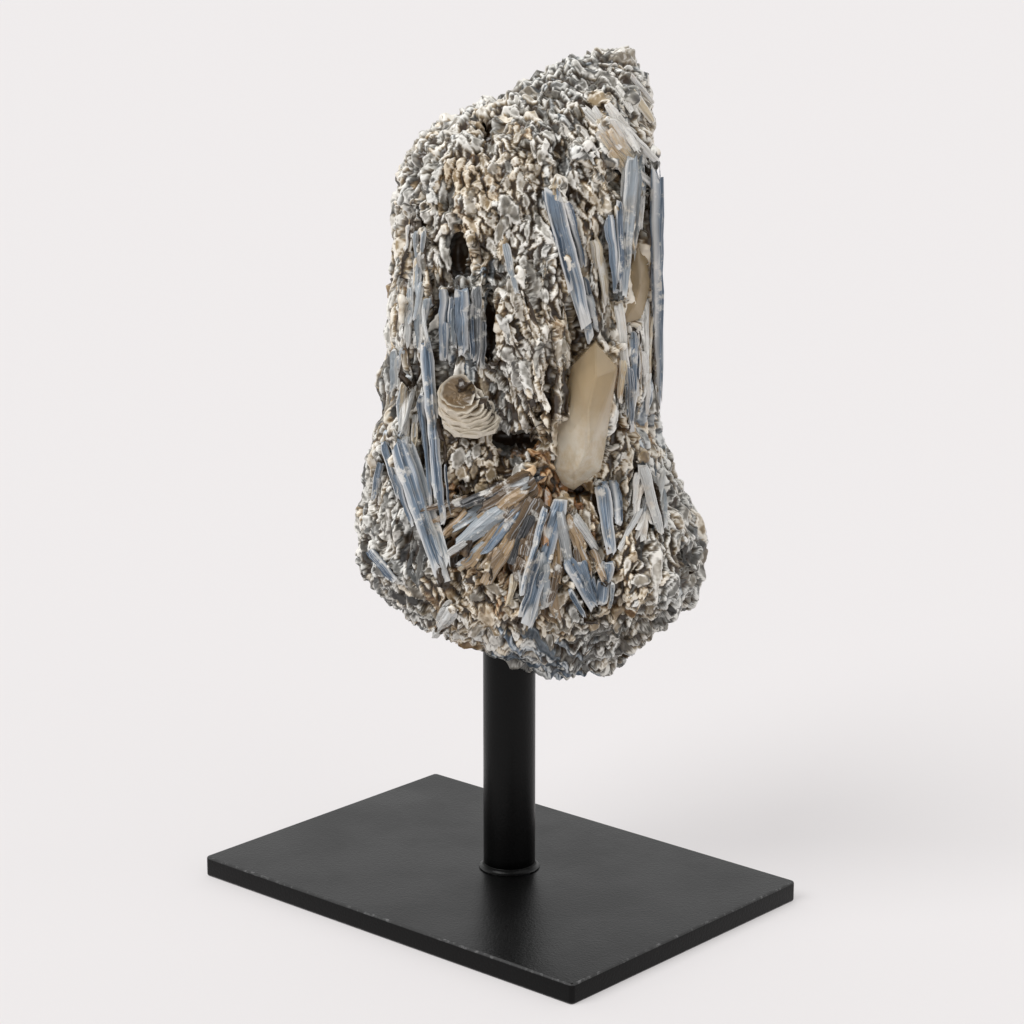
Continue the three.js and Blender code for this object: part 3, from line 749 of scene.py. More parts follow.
def growCrystals():
    rng = np.random.default_rng(crystals["seed"])
    points, normals, local, facing, relief, zone, size = seatCrystals(rng)
    flow = flowOfCrystals(rng, local, normals, zone)
    beside = unit(np.cross(flow, normals))
    hue, light = lookOfCrystals(rng, local, facing, relief, zone)

    surface, outward, faces = evened(crust["voxel"], crust["easing"])
    surface, _ = furrowed(surface, outward)
    surface -= outward * crust["inset"]
    drifted = warped(surface, crust["warp"], crust["warpSize"])
    drifted = warped(drifted, crust["warp"] * 0.5, crust["warpSize"] * 0.4)
    tree = KDTree(len(drifted))
    for number, point in enumerate(drifted):
        tree.insert(point, number)
    tree.balance()

    # every crystal raises the surface within its outline, and the highest one shows
    height, second = np.zeros((2, len(surface)))
    # what no crystal covers keeps the painted shade of a gap
    shade = np.full(len(surface), crust["gapShade"])
    tint = np.full(len(surface), crust["gapHue"])
    for index in range(len(zone)):
        form = stance[zones[zone[index]]["size"]]
        halfLong, halfWide, halfThick = size[index] / 2
        hits = tree.find_range(points[index], halfLong * 1.02)
        near = np.array([hit[1] for hit in hits], int)
        near = near[outward[near] @ normals[index] > 0.2]
        away = drifted[near] - points[index]
        along = away @ flow[index] / halfLong
        sideways = away @ beside[index] / (halfWide * (1 - form["narrow"] * np.clip(along, -1, 1)))
        ring = (np.abs(along) ** form["square"] + np.abs(sideways) ** form["square"]) ** (1 / form["square"])
        inside = ring < 1
        near, along, sideways, ring = near[inside], along[inside], sideways[inside], ring[inside]
        edge = (1 - ring) * halfWide  # how far inside the outline
        rise = math.tan(math.radians(rng.uniform(*form["rise"])))
        roll = math.tan(math.radians(rng.uniform(-form["roll"], form["roll"])))
        thickness = halfThick * rng.uniform(*crust["thickness"])
        top = thickness + halfLong * rise * (along + 0.3) + halfWide * roll * sideways
        ridge = rng.uniform(*crust["ridge"]) * halfThick
        ridgeAt = rng.uniform(-crust["ridgeShift"], crust["ridgeShift"])
        top += ridge * (0.6 - 1.5 * np.abs(sideways - ridgeAt))
        top = crust["highest"] * np.tanh(np.maximum(top, crust["lowest"]) / crust["highest"])
        raised = top * np.sqrt(np.clip(edge / crust["side"], 0, 1))
        # painted highlight: a pale band just inside each crystal's outline, where its rim would catch the
        # light
        rim = np.interp(edge / mm, rimHighlightLook["edge"], rimHighlightLook["pale"])
        # the painted highlight is stronger towards the crystal's exposed tip
        rim *= 0.5 + 0.5 * np.clip(along + 0.7, 0, 1)  # paler towards its tip
        # painted shade: dark down each crystal's sides at its outline, lighter over its face
        tone = np.interp(edge / mm, (0, 0.3), (0.05, 0.45)) + rimHighlightLook["gain"] * rim
        higher = raised > height[near]
        won, lost = near[higher], near[~higher]
        second[lost] = np.maximum(second[lost], raised[~higher])
        second[won] = height[won]
        height[won] = raised[higher]
        shade[won] = tone[higher] * light[index]
        tint[won] = hue[index] + 0.26 * np.maximum(0.45 - tone[higher], -0.1)

    grit = np.array([noise.noise(Vector(point) / crust["gritSize"]) for point in surface])
    # painted shade in the creases where one crystal meets the next
    shade *= 0.1 + 0.9 * np.clip((height - second) / crust["creaseShadeWidth"], 0, 1)
    shade *= 1 + crust["gritShade"] * grit
    height += crust["grit"] * grit
    surface += outward * height[:, None]

    paintLightUnderQuartz(toStone(surface), shade, tint)
    places = np.column_stack([np.clip(tint, 0.02, 0.98), np.clip(shade, 0.01, 0.99)])
    cutCrust(surface, outward, faces, places)


# crystal colour from its map: hue in x, and in y the crystal's own lightness together with painted light,
# from painted shade in the dark gaps over the faces to painted highlights on the pale rims
grainColours = [  # place along the hue, then the colour of gaps, faces and rims
    dict(at=0.05, gap=srgb(12, 16, 22), face=srgb(80, 98, 118), rim=srgb(206, 214, 221)),
    dict(at=0.2, gap=srgb(13, 16, 20), face=srgb(106, 120, 133), rim=srgb(224, 228, 230)),
    dict(at=0.36, gap=srgb(13, 12, 11), face=srgb(118, 118, 115), rim=srgb(241, 240, 235)),
    dict(at=0.5, gap=srgb(24, 19, 14), face=srgb(146, 141, 131), rim=srgb(250, 246, 238)),
    dict(at=0.64, gap=srgb(58, 41, 23), face=srgb(168, 147, 114), rim=srgb(250, 241, 225)),
    dict(at=0.8, gap=srgb(82, 56, 30), face=srgb(138, 108, 73), rim=srgb(238, 220, 190)),
    dict(at=0.95, gap=srgb(98, 62, 28), face=srgb(148, 100, 54), rim=srgb(230, 195, 152)),
]


def makeGrainMaterial():
    material, nodes, links, shader = newMaterial("kyanite grains")
    place = addNode(nodes, "ShaderNodeUVMap", uv_map="OFBake")
    split = addNode(nodes, "ShaderNodeSeparateXYZ")
    links.new(place.outputs[0], split.inputs[0])
    colours = {}
    for part in ("gap", "face", "rim"):
        ramp = addNode(nodes, "ShaderNodeValToRGB")
        stops = ramp.color_ramp.elements
        while len(stops) < len(grainColours):
            stops.new(0.5)
        for stop, colour in zip(stops, grainColours):
            stop.position = colour["at"]
            stop.color = colour[part]
        links.new(split.outputs[0], ramp.inputs[0])
        colours[part] = ramp.outputs[0]
    toFace = mapRange(nodes, links, split.outputs[1], 0.0, 0.5, smooth=False)
    toRim = mapRange(nodes, links, split.outputs[1], 0.5, 1.0, smooth=False)
    # from painted shade in the gaps over the faces to painted highlights on the rims
    lower = mixColour(nodes, links, toFace, colours["gap"], colours["face"])
    links.new(mixColour(nodes, links, toRim, lower, colours["rim"]), shader.inputs["Base Color"])
    setSockets(shader, {"Roughness": 0.3, "Coat Weight": 0.35, "Coat Roughness": 0.12})
    return material


grainMaterial = makeGrainMaterial()


# large crystals, with ridges along them and stepped ends

bladeForm = dict(seed=21, ridges=7, stations=13, taper=0.66, stepped=0.2, wiggle=0.12,
                 warp=0.45 * mm, warpSize=4.6 * mm, roll=24, shades=(0.86, 1.12))
backBlades = dict(count=46, x=(-24, 30), z=(112, 222), lean=0.16,
                  long=(14, 38), wide=(3, 6.5), thick=(3, 4.4),
                  tones=["blue", "greyBlue", "deepBlue", "pale", "beige"], shares=(.36, .26, .1, .16, .12))


def bladeShape(rng, length, wide, thick, highlightGain=1.0):
    ridges, stations = bladeForm["ridges"], bladeForm["stations"]
    acrossShare = np.linspace(-.5, .5, ridges) + np.r_[0, rng.uniform(-.05, .05, ridges - 2), 0]
    ridge = np.r_[.2, rng.uniform(.4, 1, ridges - 2), .2]
    profile = np.vstack([np.column_stack([acrossShare, ridge]), [(.42, -.4), (0, -.5), (-.42, -.4)]])
    ends = 1 - rng.uniform(0, bladeForm["stepped"], len(profile))
    starts = rng.uniform(0, bladeForm["stepped"] * .5, len(profile))
    sides = len(profile)
    points, places, rims = [], [], []
    offset = rng.uniform(0, 50, 2)
    for i in range(stations):
        share = i / (stations - 1)
        grow = 1 - (1 - bladeForm["taper"]) * share ** 1.5
        if i == 0:
            grow *= .8
        wave = 1 + rng.uniform(-bladeForm["wiggle"], bladeForm["wiggle"], sides)
        y = (starts + (ends - starts) * share) * length
        heights = profile[:, 1] * thick * .5 * grow * wave
        points.append(np.column_stack([profile[:, 0] * wide * grow, y, heights]))
        places.append(np.column_stack([np.arange(sides) / sides + offset[0], y / (10 * mm) + offset[1]]))
        # painted highlights along the blade's side edges and on its tip
        edge = np.r_[1, .4, np.full(ridges - 4, .1), .4, 1, .2, 0, .2]
        rims.append(highlightGain * np.maximum(edge, .9 * (share > .97)))
    faces = []
    for i in range(stations - 1):
        for j in range(sides):
            a, b = i * sides + j, i * sides + (j + 1) % sides
            faces += [(a, b, b + sides), (a, b + sides, a + sides)]
    last = (stations - 1) * sides
    faces += [(0, j + 1, j) for j in range(1, sides - 1)]
    faces += [(last, last + j, last + j + 1) for j in range(1, sides - 1)]
    return np.vstack(points), np.array(faces), np.vstack(places), np.concatenate(rims)


# the line a blade lies on: it touches the ground at its ends and rides over what swells between them
lie = dict(steps=9, fewest=5, facing=0.4, over=0.8, above=0.12)


def bladeLine(start, end, thick, side, proud=0):
    shares = np.linspace(0, 1, lie["steps"])
    spots, outs = [], []
    for share in shares:
        x, z = np.array(start) + (np.array(end) - np.array(start)) * share
        spot, out = onStone(x, z, side)
        if spot is not None:
            spots.append((share, spot))
            outs.append(out)
    if len(spots) < lie["fewest"]:
        return None
    first, last = spots[0][1], spots[-1][1]
    line = (last - first).normalized()
    out = sum(outs, Vector()).normalized()
    out = (out - line * out.dot(line)).normalized()
    if abs(out.dot(inward)) < lie["facing"]:
        return None
    swells = sorted((spot - first).dot(out) for _, spot in spots)
    swell = max(0.0, swells[6 * len(swells) // 9])
    lift = swell * lie["over"] + lie["above"] * thick + proud * mm
    return first + out * lift, line, out, (last - first).length


def joinShapes(name, shapes, material):
    allPoints, allFaces, first = [], [], 0
    for points, faces, *_ in shapes:
        allPoints.append(points)
        allFaces.append(faces + first)
        first += len(points)
    points = warped(np.vstack(allPoints), bladeForm["warp"], bladeForm["warpSize"])
    mesh = meshOf(name, points, np.vstack(allFaces))
    addMap(mesh, "bladeMap", np.vstack([s[2] for s in shapes]))
    addValues(mesh, "rim", "FLOAT", np.concatenate([s[3] for s in shapes]))
    colours = [np.broadcast_to(s[4], (len(s[0]), 4)) for s in shapes]
    addValues(mesh, "bladeTone", "FLOAT_COLOR", np.vstack(colours))
    addPiece(name, mesh, material, "kyanite_stone")
    print(name, len(shapes), "shapes,", len(mesh.polygons), "triangles")


def placedBlade(rng, blade, side=-1):
    thick = blade["thick"] * mm
    proud = blade.get("proud", 0.0 if blade["tone"] in buriedTones else 0.8)
    line = bladeLine(blade["start"], blade["end"], thick, side, proud)
    if line is None:
        return None
    root, along, out, length = line
    points, faces, places, rims = bladeShape(rng, length, blade["wide"] * mm, thick, blade.get("highlightGain", 1))
    roll = math.radians(rng.uniform(-bladeForm["roll"], bladeForm["roll"]))
    out = Matrix.Rotation(roll, 3, along) @ out
    axes = np.array([along.cross(out), along, out])
    tone = np.array(tones[blade["tone"]]) * (*[rng.uniform(*bladeForm["shades"])] * 3, 1)
    return np.array(root) + points @ axes, faces, places, rims, tone


# a large blade is a broad crystal with thinner ones along its sides
def bundle(rng, blade):
    start, end = np.array(blade["start"], float), np.array(blade["end"], float)
    length = np.linalg.norm(end - start)
    line = (end - start) / length
    beside = np.array((-line[1], line[0]))
    near = dict(blue=["blue", "deepBlue", "greyBlue"], greyBlue=["greyBlue", "pale", "blue"])
    yield dict(blade, wide=0.85 * blade["wide"])
    for _ in range(1 if blade["wide"] < 3 else 2 if blade["wide"] < 4.5 else 3):
        shift = beside * rng.choice((-1, 1)) * rng.uniform(0.26, 0.46) * blade["wide"]
        first = rng.uniform(0, 0.5) * length
        last = min(length, first + rng.uniform(0.35, 0.7) * length)
        tone = rng.choice(near.get(blade["tone"], [blade["tone"]]))
        yield dict(blade, start=start + shift + line * first, end=start + shift + line * last, tone=tone,
                   wide=blade["wide"] * rng.uniform(0.2, 0.4), thick=blade["thick"] * rng.uniform(0.8, 1.15))


def growLargeBlades():
    rng = np.random.default_rng(bladeForm["seed"])
    shapes = [placedBlade(rng, strand) for blade in largeBlades for strand in bundle(rng, blade)]
    for sheaf in sheaves:
        for _ in range(sheaf["count"]):
            middle = np.array(sheaf["at"]) + np.array(sheaf["reach"]) * rng.normal(0, 0.7, 2)
            turn = math.radians(sheaf["heading"] + sheaf["wander"] * rng.normal())
            half = np.array((math.cos(turn), math.sin(turn))) * rng.uniform(*sheaf["long"]) / 2
            blade = dict(start=middle - half, end=middle + half, wide=rng.uniform(*sheaf["wide"]), proud=0.3,
                         thick=rng.uniform(2.2, 3.2), tone=rng.choice(sheaf["tones"]))
            shapes.append(placedBlade(rng, blade))
    for _ in range(backBlades["count"]):  # more on the hidden back, hanging as the front's do
        x, z = rng.uniform(*backBlades["x"]), rng.uniform(*backBlades["z"])
        lean = rng.normal(0, backBlades["lean"])
        length = rng.uniform(*backBlades["long"])
        end = (x + lean * length, z - length)
        tone = rng.choice(backBlades["tones"], p=backBlades["shares"])
        blade = dict(start=(x, z), end=end, wide=rng.uniform(*backBlades["wide"]),
                     thick=rng.uniform(*backBlades["thick"]), tone=tone, proud=0.2)
        shapes.append(placedBlade(rng, blade, 1))
    joinShapes("large_blades", [s for s in shapes if s], bladeMaterial)


fanFiller = dict(count=40, headings=(196, 296), first=(12, 32), length=(7, 15), wide=(2.2, 4.6), stray=11,
                 thick=(2.4, 3.6), tones=["tan", "brown", "beige", "rust", "pale", "greyBlue"],
                 shares=(.3, .4, .06, .06, .08, .1))


def growFan():
    rng = np.random.default_rng(bladeForm["seed"] + 1)
    blades = list(fanBlades)
    for _ in range(fanFiller["count"]):
        first = rng.uniform(*fanFiller["first"])
        blades.append(dict(
            heading=rng.uniform(*fanFiller["headings"]),
            stray=rng.normal(0, fanFiller["stray"]),
            start=first,
            end=first + rng.uniform(*fanFiller["length"]),
            wide=rng.uniform(*fanFiller["wide"]),
            thick=rng.uniform(*fanFiller["thick"]),
            tone=rng.choice(fanFiller["tones"], p=fanFiller["shares"]),
        ))
    shapes = []
    for blade in blades:
        start, end = fanEnds(blade)
        shapes.append(placedBlade(rng, dict(blade, start=start, end=end, highlightGain=0.36)))
    joinShapes("fan_blades", [s for s in shapes if s], bladeMaterial)


# a crystal's own tone and the fine lines along it
def readCrystal(nodes, links, acrossScale, alongScale):
    tone = addNode(nodes, "ShaderNodeAttribute", attribute_name="bladeTone").outputs["Color"]
    lines = useGroup(nodes, streaks, Across=acrossScale, Along=alongScale)
    links.new(addNode(nodes, "ShaderNodeUVMap", uv_map="bladeMap").outputs[0], lines.inputs["Map"])
    return tone, lines.outputs


# stains over a crystal's colour, then the painted highlight on its rim, which starts at the value given
def finishCrystal(nodes, links, shader, colour, stainScale, stainAmount, highlightFrom, highlightColour):
    stain = useGroup(nodes, ironStain, Scale=stainScale, Amount=stainAmount)
    links.new(colour, stain.inputs["Colour"])
    rim = addNode(nodes, "ShaderNodeAttribute", attribute_name="rim").outputs["Fac"]
    edge = mapRange(nodes, links, rim, highlightFrom, 1.0, 0.0, 0.7)
    links.new(mixColour(nodes, links, edge, stain.outputs[0], highlightColour), shader.inputs["Base Color"])


def makeBladeMaterial():
    material, nodes, links, shader = newMaterial("kyanite blades")
    tone, lines = readCrystal(nodes, links, 16.0, 0.35)
    palePart = multiplied(nodes, links, lines["Pale"], 0.75)
    darkPart = multiplied(nodes, links, lines["Dark"], 0.75)
    paled = mixColour(nodes, links, palePart, tone, srgb(214, 217, 219))
    shadow = mixColour(nodes, links, 1.0, paled, srgb(104, 106, 112), "MULTIPLY")
    striped = mixColour(nodes, links, darkPart, paled, shadow)
    place = addNode(nodes, "ShaderNodeTexCoord").outputs["Object"]
    dust = mapRange(nodes, links, noiseOn(nodes, links, place, 190.0, 5.0, 0.7), 0.54, 0.64, 0.0, 0.8)
    dusted = mixColour(nodes, links, dust, striped, srgb(222, 219, 212))
    finishCrystal(nodes, links, shader, dusted, 110.0, 0.35, 0.25, srgb(238, 236, 232))
    roughness = mapRange(nodes, links, lines["Height"], 0.3, 0.7, 0.24, 0.44)
    links.new(roughness, shader.inputs["Roughness"])
    addBump(nodes, links, lines["Height"], 0.5, 0.3 * mm, shader)
    return material


bladeMaterial = makeBladeMaterial()


# the lump of curved mica sheets: centre and half sizes in the front view, in millimetres, and lean

micaSheets = [
    dict(at=(-14.7, 161.6), half=(5.0, 5.4), lean=40, turn=-20),
    dict(at=(-14.3, 160.4), half=(6.0, 6.0), lean=46, turn=-16),
    dict(at=(-13.7, 159.2), half=(6.8, 6.4), lean=50, turn=-12),
    dict(at=(-13.1, 158.0), half=(7.3, 6.6), lean=54, turn=-10),
    dict(at=(-12.5, 156.8), half=(7.8, 6.8), lean=57, turn=-7),
    dict(at=(-11.9, 155.6), half=(8.1, 6.9), lean=60, turn=-5),
    dict(at=(-11.3, 154.4), half=(8.2, 6.9), lean=62, turn=-2),
    dict(at=(-10.7, 153.2), half=(8.0, 6.7), lean=64, turn=1),
    dict(at=(-9.9, 152.0), half=(7.4, 6.4), lean=66, turn=4),
]
micaForm = dict(seed=33, rings=5, spokes=26, thick=(1.0, 1.6), bowl=1.4 * mm, ragged=0.07, ripple=0.3)


def micaSheet(rng, sheet):
    rings, spokes = micaForm["rings"], micaForm["spokes"]
    angles = np.linspace(0, 2 * math.pi, spokes, endpoint=False)
    ragged = 1 + rng.uniform(-micaForm["ragged"], micaForm["ragged"], spokes)
    ripple = micaForm["ripple"] * np.sin(angles * rng.integers(4, 8) + rng.uniform(0, 6))
    top = [(0, 0, 0)]
    for ring in range(1, rings + 1):
        r = ring / rings
        wave = 1 + (ragged - 1) * r ** 3
        x = np.cos(angles) * r * wave * sheet["half"][0] * mm
        y = np.sin(angles) * r * wave * sheet["half"][1] * mm
        z = micaForm["bowl"] * r ** 2 + (ripple * r ** 2 + rng.uniform(-.2, .2, spokes)) * mm
        top += list(zip(x, y, z))
    top = np.array(top)
    points = np.vstack([top, top - (0, 0, rng.uniform(*micaForm["thick"]) * mm)])
    faces = []
    for j in range(spokes):
        k = (j + 1) % spokes
        faces.append((0, 1 + j, 1 + k))
        for ring in range(rings - 1):
            a, b = 1 + ring * spokes + j, 1 + ring * spokes + k
            faces += [(a, a + spokes, b + spokes), (a, b + spokes, b)]
    under = len(top)
    faces += [(under + a, under + c, under + b) for a, b, c in faces]
    outer = 1 + (rings - 1) * spokes
    for j in range(spokes):
        a, b = outer + j, outer + (j + 1) % spokes
        faces += [(a, a + under, b + under), (a, b + under, b)]
    spot, _ = onStone(*sheet["at"])
    turn = Matrix.Rotation(math.radians(sheet["turn"]), 3, "Z")
    lean = Matrix.Rotation(math.radians(-sheet["lean"]), 3, "X")
    axes = np.array([across, upward, -inward])
    placed = (np.array(turn @ lean) @ points.T).T @ axes
    r = np.r_[0, np.repeat(np.arange(1, rings + 1) / rings, spokes)]
    places = np.column_stack([np.r_[0, np.tile(np.arange(spokes) / spokes, rings)], r * .6])
    lift = np.array(-inward) * 0.6 * mm
    # painted shade: each sheet is darker towards its right
    shadeToRight = 1 - 0.5 * np.clip(points[:, 0] / (sheet["half"][0] * mm) + 0.1, 0, 1)  # browner towards its right
    tone = np.array(tones["tan"]) * rng.uniform(.5, .95) * shadeToRight[:, None]
    # painted highlight on each sheet's rim, strongest at its edge
    return np.array(spot) + lift + placed, np.array(faces), np.vstack([places] * 2), np.tile(r ** 7, 2), tone


def growMica():
    rng = np.random.default_rng(micaForm["seed"])
    joinShapes("mica_sheets", [micaSheet(rng, sheet) for sheet in micaSheets], micaMaterial)


def makeMicaMaterial():
    material, nodes, links, shader = newMaterial("mica sheets")
    tone, lines = readCrystal(nodes, links, 3.0, 9.0)
    brown = mixColour(nodes, links, lines["Dark"], tone, srgb(96, 74, 50))
    finishCrystal(nodes, links, shader, brown, 160.0, 0.6, 0.2, srgb(232, 224, 208))
    shader.inputs["Roughness"].default_value = 0.3
    addBump(nodes, links, lines["Height"], 0.35, 0.3 * mm, shader)
    return material


micaMaterial = makeMicaMaterial()


# quartz, milky with a honey tint, and light passes through it

quartzLook = dict(tint=srgb(250, 243, 228), smoke=srgb(226, 208, 178), top=srgb(206, 184, 148),
                  fade=(0.166, 0.140), absorb=srgb(236, 214, 178), density=4.0, roughness=0.08, ior=1.544,
                  transmission=0.55, edge=0.34 * mm, rimHeight=0.6, flatAngle=3, sharpAngle=8)
# the fractures: between two places in a lump (sideways, along it, outward), with shares of its girth
veilForm = dict(low=(-.45, .2, .15), high=(.1, .85, .55), reach=(.08, .24), flat=(.25, .8), swell=0.08 * mm,
                corners=7)


def makeQuartzMaterial():
    material, nodes, links, shader = newMaterial("quartz")
    place = addNode(nodes, "ShaderNodeTexCoord").outputs["Object"]
    clouds = mapRange(nodes, links, noiseOn(nodes, links, place, 90.0, 6.0, 0.7), 0.38, 0.62)
    body = mixColour(nodes, links, clouds, quartzLook["smoke"], quartzLook["tint"])
    split = addNode(nodes, "ShaderNodeSeparateXYZ")
    links.new(place, split.inputs[0])
    low = mapRange(nodes, links, split.outputs[2], *quartzLook["fade"])
    links.new(mixColour(nodes, links, low, quartzLook["top"], body), shader.inputs["Base Color"])
    setSockets(shader, {"Roughness": quartzLook["roughness"], "IOR": quartzLook["ior"],
                        "Transmission Weight": quartzLook["transmission"]})
    absorb = addNode(nodes, "ShaderNodeVolumeAbsorption")
    absorb.inputs["Color"].default_value = quartzLook["absorb"]
    absorb.inputs["Density"].default_value = quartzLook["density"]
    links.new(absorb.outputs[0], nodes["Material Output"].inputs["Volume"])
    return material


quartzMaterial = makeQuartzMaterial()
# pale: the fractures inside the quartz, and painted highlights along its bevelled edges
veilAndEdgeHighlightMaterial, _, _, veilAndEdgeHighlightShader = newMaterial("quartz veils")
veilAndEdgeHighlightShader.inputs["Base Color"].default_value = srgb(252, 247, 236)
veilAndEdgeHighlightShader.inputs["Roughness"].default_value = 0.5


def growQuartz():
    veils = []
    corners = veilForm["corners"]
    for number, lump in enumerate(quartzLumps):
        rng = np.random.default_rng(lump["seed"])
        root, along, out, length = bladeLine(lump["start"], lump["end"], 0, -1)
        side = along.cross(out)

        def inLump(sideways, lengthways, outward):
            swell = .8 + .2 * math.sin(math.pi * (.2 + .6 * lengthways))
            swell *= np.interp(lengthways, (0, .4), (.82, 1))  # narrower at its upper end
            return (root + along * length * lengthways + side * sideways * lump["girth"] * mm * .5 * swell
                    + out * outward * lump["depth"] * mm * .5 * swell)

        def inView(x, z, height):  # keeps its place in the front view
            flat = stonePlace(x, 0, z)
            return flat + inward * ((height * mm - (flat - root).dot(out)) / inward.dot(out))

        body = bmesh.new()
        for x, z in lump["outline"]:
            body.verts.new(inView(x, z, quartzLook["rimHeight"]))
            body.verts.new(inView(x, z, -lump["buried"]))
        for crest in lump["crests"]:
            body.verts.new(inView(*crest))
        bmesh.ops.convex_hull(body, input=body.verts)
        bmesh.ops.delete(body, geom=[v for v in body.verts if not v.link_faces], context="VERTS")
        flat = math.radians(quartzLook["flatAngle"])
        bmesh.ops.dissolve_limit(body, angle_limit=flat, verts=body.verts, edges=body.edges)
        bmesh.ops.recalc_face_normals(body, faces=body.faces)
        bend = math.radians(quartzLook["sharpAngle"])
        sharp = [e for e in body.edges if len(e.link_faces) == 2 and e.calc_face_angle() > bend]
        # the bevelled edges take the pale veil material: a painted highlight along each edge
        edged = bmesh.ops.bevel(body, geom=sharp, offset=quartzLook["edge"], segments=1, affect="EDGES")
        for face in edged["faces"]:
            face.material_index = 1
        bmesh.ops.triangulate(body, faces=body.faces)
        mesh = meshFrom(f"quartz_{number + 1}", body)
        addPiece(mesh.name, mesh, quartzMaterial, "kyanite_stone")
        mesh.materials.append(veilAndEdgeHighlightMaterial)
        print(mesh.name, len(mesh.polygons), "triangles")
        for _ in range(lump["veils"]):  # fractures inside it, thin and pale
            middle = np.array(inLump(*rng.uniform(veilForm["low"], veilForm["high"])))
            lay = rng.normal(size=(2, 3))
            turns = np.sort(rng.uniform(0, 2 * math.pi, corners))
            reach = rng.uniform(.6, 1, corners) * lump["girth"] * mm * rng.uniform(*veilForm["reach"])
            ring = middle + np.outer(np.cos(turns) * reach, lay[0] / np.linalg.norm(lay[0]))
            flatness = rng.uniform(*veilForm["flat"])
            ring += np.outer(np.sin(turns) * reach * flatness, lay[1] / np.linalg.norm(lay[1]))
            swell = unit(np.cross(*lay)[None])[0] * veilForm["swell"]
            veils.append(np.vstack([ring, ring.mean(axis=0) + swell, ring.mean(axis=0) - swell]))
    points = np.vstack(veils)
    faces = []
    for first in range(0, len(points), corners + 2):
        over = first + corners
        for j in range(corners):
            a, b = first + j, first + (j + 1) % corners
            faces += [(a, b, over), (b, a, over + 1)]
    addPiece("quartz_veils", meshOf("quartz_veils", points, faces), veilAndEdgeHighlightMaterial, "kyanite_stone")


growCrystals()
growLargeBlades()
growFan()
growMica()
growQuartz()
print("stone grown")


# the stand: rod, weld and plate under one black coat

coat = dict(colour=srgb(7, 7, 7), peelPerMetre=1500.0, roughness=(0.28, 0.36), edgeTone=srgb(118, 118, 118))


def makeCoatMaterial():
    material, nodes, links, shader = newMaterial("black coat")
    place = addNode(nodes, "ShaderNodeTexCoord").outputs["Object"]
    peel = noiseOn(nodes, links, place, coat["peelPerMetre"], 2.0)
    smears = noiseOn(nodes, links, place, 38.0, 4.0)
    edge = addNode(nodes, "ShaderNodeAttribute", attribute_name="edge").outputs["Fac"]
    chips = mapRange(nodes, links, noiseOn(nodes, links, place, 420.0, 5.0, 0.7), 0.5, 0.72, 0.25, 1.0)
    worn = multiplied(nodes, links, edge, chips)
    colour = mixColour(nodes, links, worn, coat["colour"], coat["edgeTone"])
    links.new(colour, shader.inputs["Base Color"])
    links.new(mapRange(nodes, links, smears, 0.3, 0.7, *coat["roughness"]), shader.inputs["Roughness"])
    addBump(nodes, links, peel, 0.7, 0.1 * mm, shader)
    shader.inputs["Specular IOR Level"].default_value = 0.15
    return material


coatMaterial = makeCoatMaterial()
rodForm = dict(sides=96, topEdge=0.5 * mm)
weldForm = dict(sides=120, rings=10, ripples=46, ripple=0.16 * mm)
plateForm = dict(corner=1.5 * mm, edge=0.7 * mm, cornerSteps=6, edgeSteps=5)


def turned(profile, sides, centre, wobble=None):
    angles = np.linspace(0, 2 * math.pi, sides, endpoint=False)
    points = []
    for radius, height in profile:
        reach = radius if wobble is None else radius + wobble(angles, radius, height)
        points.append(np.column_stack([
            centre.x + reach * np.cos(angles), centre.y + reach * np.sin(angles), np.full(sides, height)]))
    return np.vstack(points)


def ringFaces(rows, sides, closed):
    faces = []
    for i in range(rows if closed else rows - 1):
        below, above = i * sides, (i + 1) % rows * sides
        for j in range(sides):
            k = (j + 1) % sides
            faces.append((below + j, below + k, above + k, above + j))
    return faces


def buildRod():
    radius = (rodHigh.x - rodLow.x) / 2
    edge = rodForm["topEdge"]
    heights = list(np.linspace(rodLow.z, rodHigh.z - edge, 24))
    profile = [(radius, z) for z in heights]
    profile += [(radius - edge * .3, rodHigh.z - edge * .3), (radius - edge, rodHigh.z)]
    points = turned(profile, rodForm["sides"], rodAxis)
    rows, sides = len(profile), rodForm["sides"]
    quads = ringFaces(rows, sides, False)
    body = bmesh.new()
    verts = [body.verts.new(p) for p in points]
    for quad in quads:
        body.faces.new([verts[i] for i in quad]).smooth = True
    body.faces.new([verts[i] for i in range(sides)][::-1])
    body.faces.new([verts[(rows - 1) * sides + i] for i in range(sides)])
    mesh = meshFrom("stand_rod", body)
    addPiece("stand_rod", mesh, coatMaterial, "rod")


# a bead of weld with shallow ripples round the rod's foot
def buildWeld():
    inner = (rodHigh.x - rodLow.x) / 2 + 0.05 * mm
    outer = (weldHigh.x - weldLow.x) / 2
    tall = weldHigh.z - weldLow.z
    turns = np.linspace(0, math.pi / 2, weldForm["rings"])
    profile = [(outer - (outer - inner) * math.sin(t), weldLow.z + tall * (1 - math.cos(t))) for t in turns]
    profile += [(inner, weldLow.z), ((inner + outer) / 2, weldLow.z)]

    def ripple(angles, radius, height):
        share = (radius - inner) / (outer - inner)
        beads = np.abs(np.sin(angles * weldForm["ripples"] / 2 + 3 * share))
        return -share * weldForm["ripple"] * beads

    points = turned(profile, weldForm["sides"], rodAxis, ripple)
    quads = np.array(ringFaces(len(profile), weldForm["sides"], True))
    mesh = meshOf("weld_bead_ring", points, quads, smooth=True)
    addPiece("weld_bead_ring", mesh, coatMaterial, "weld_bead")


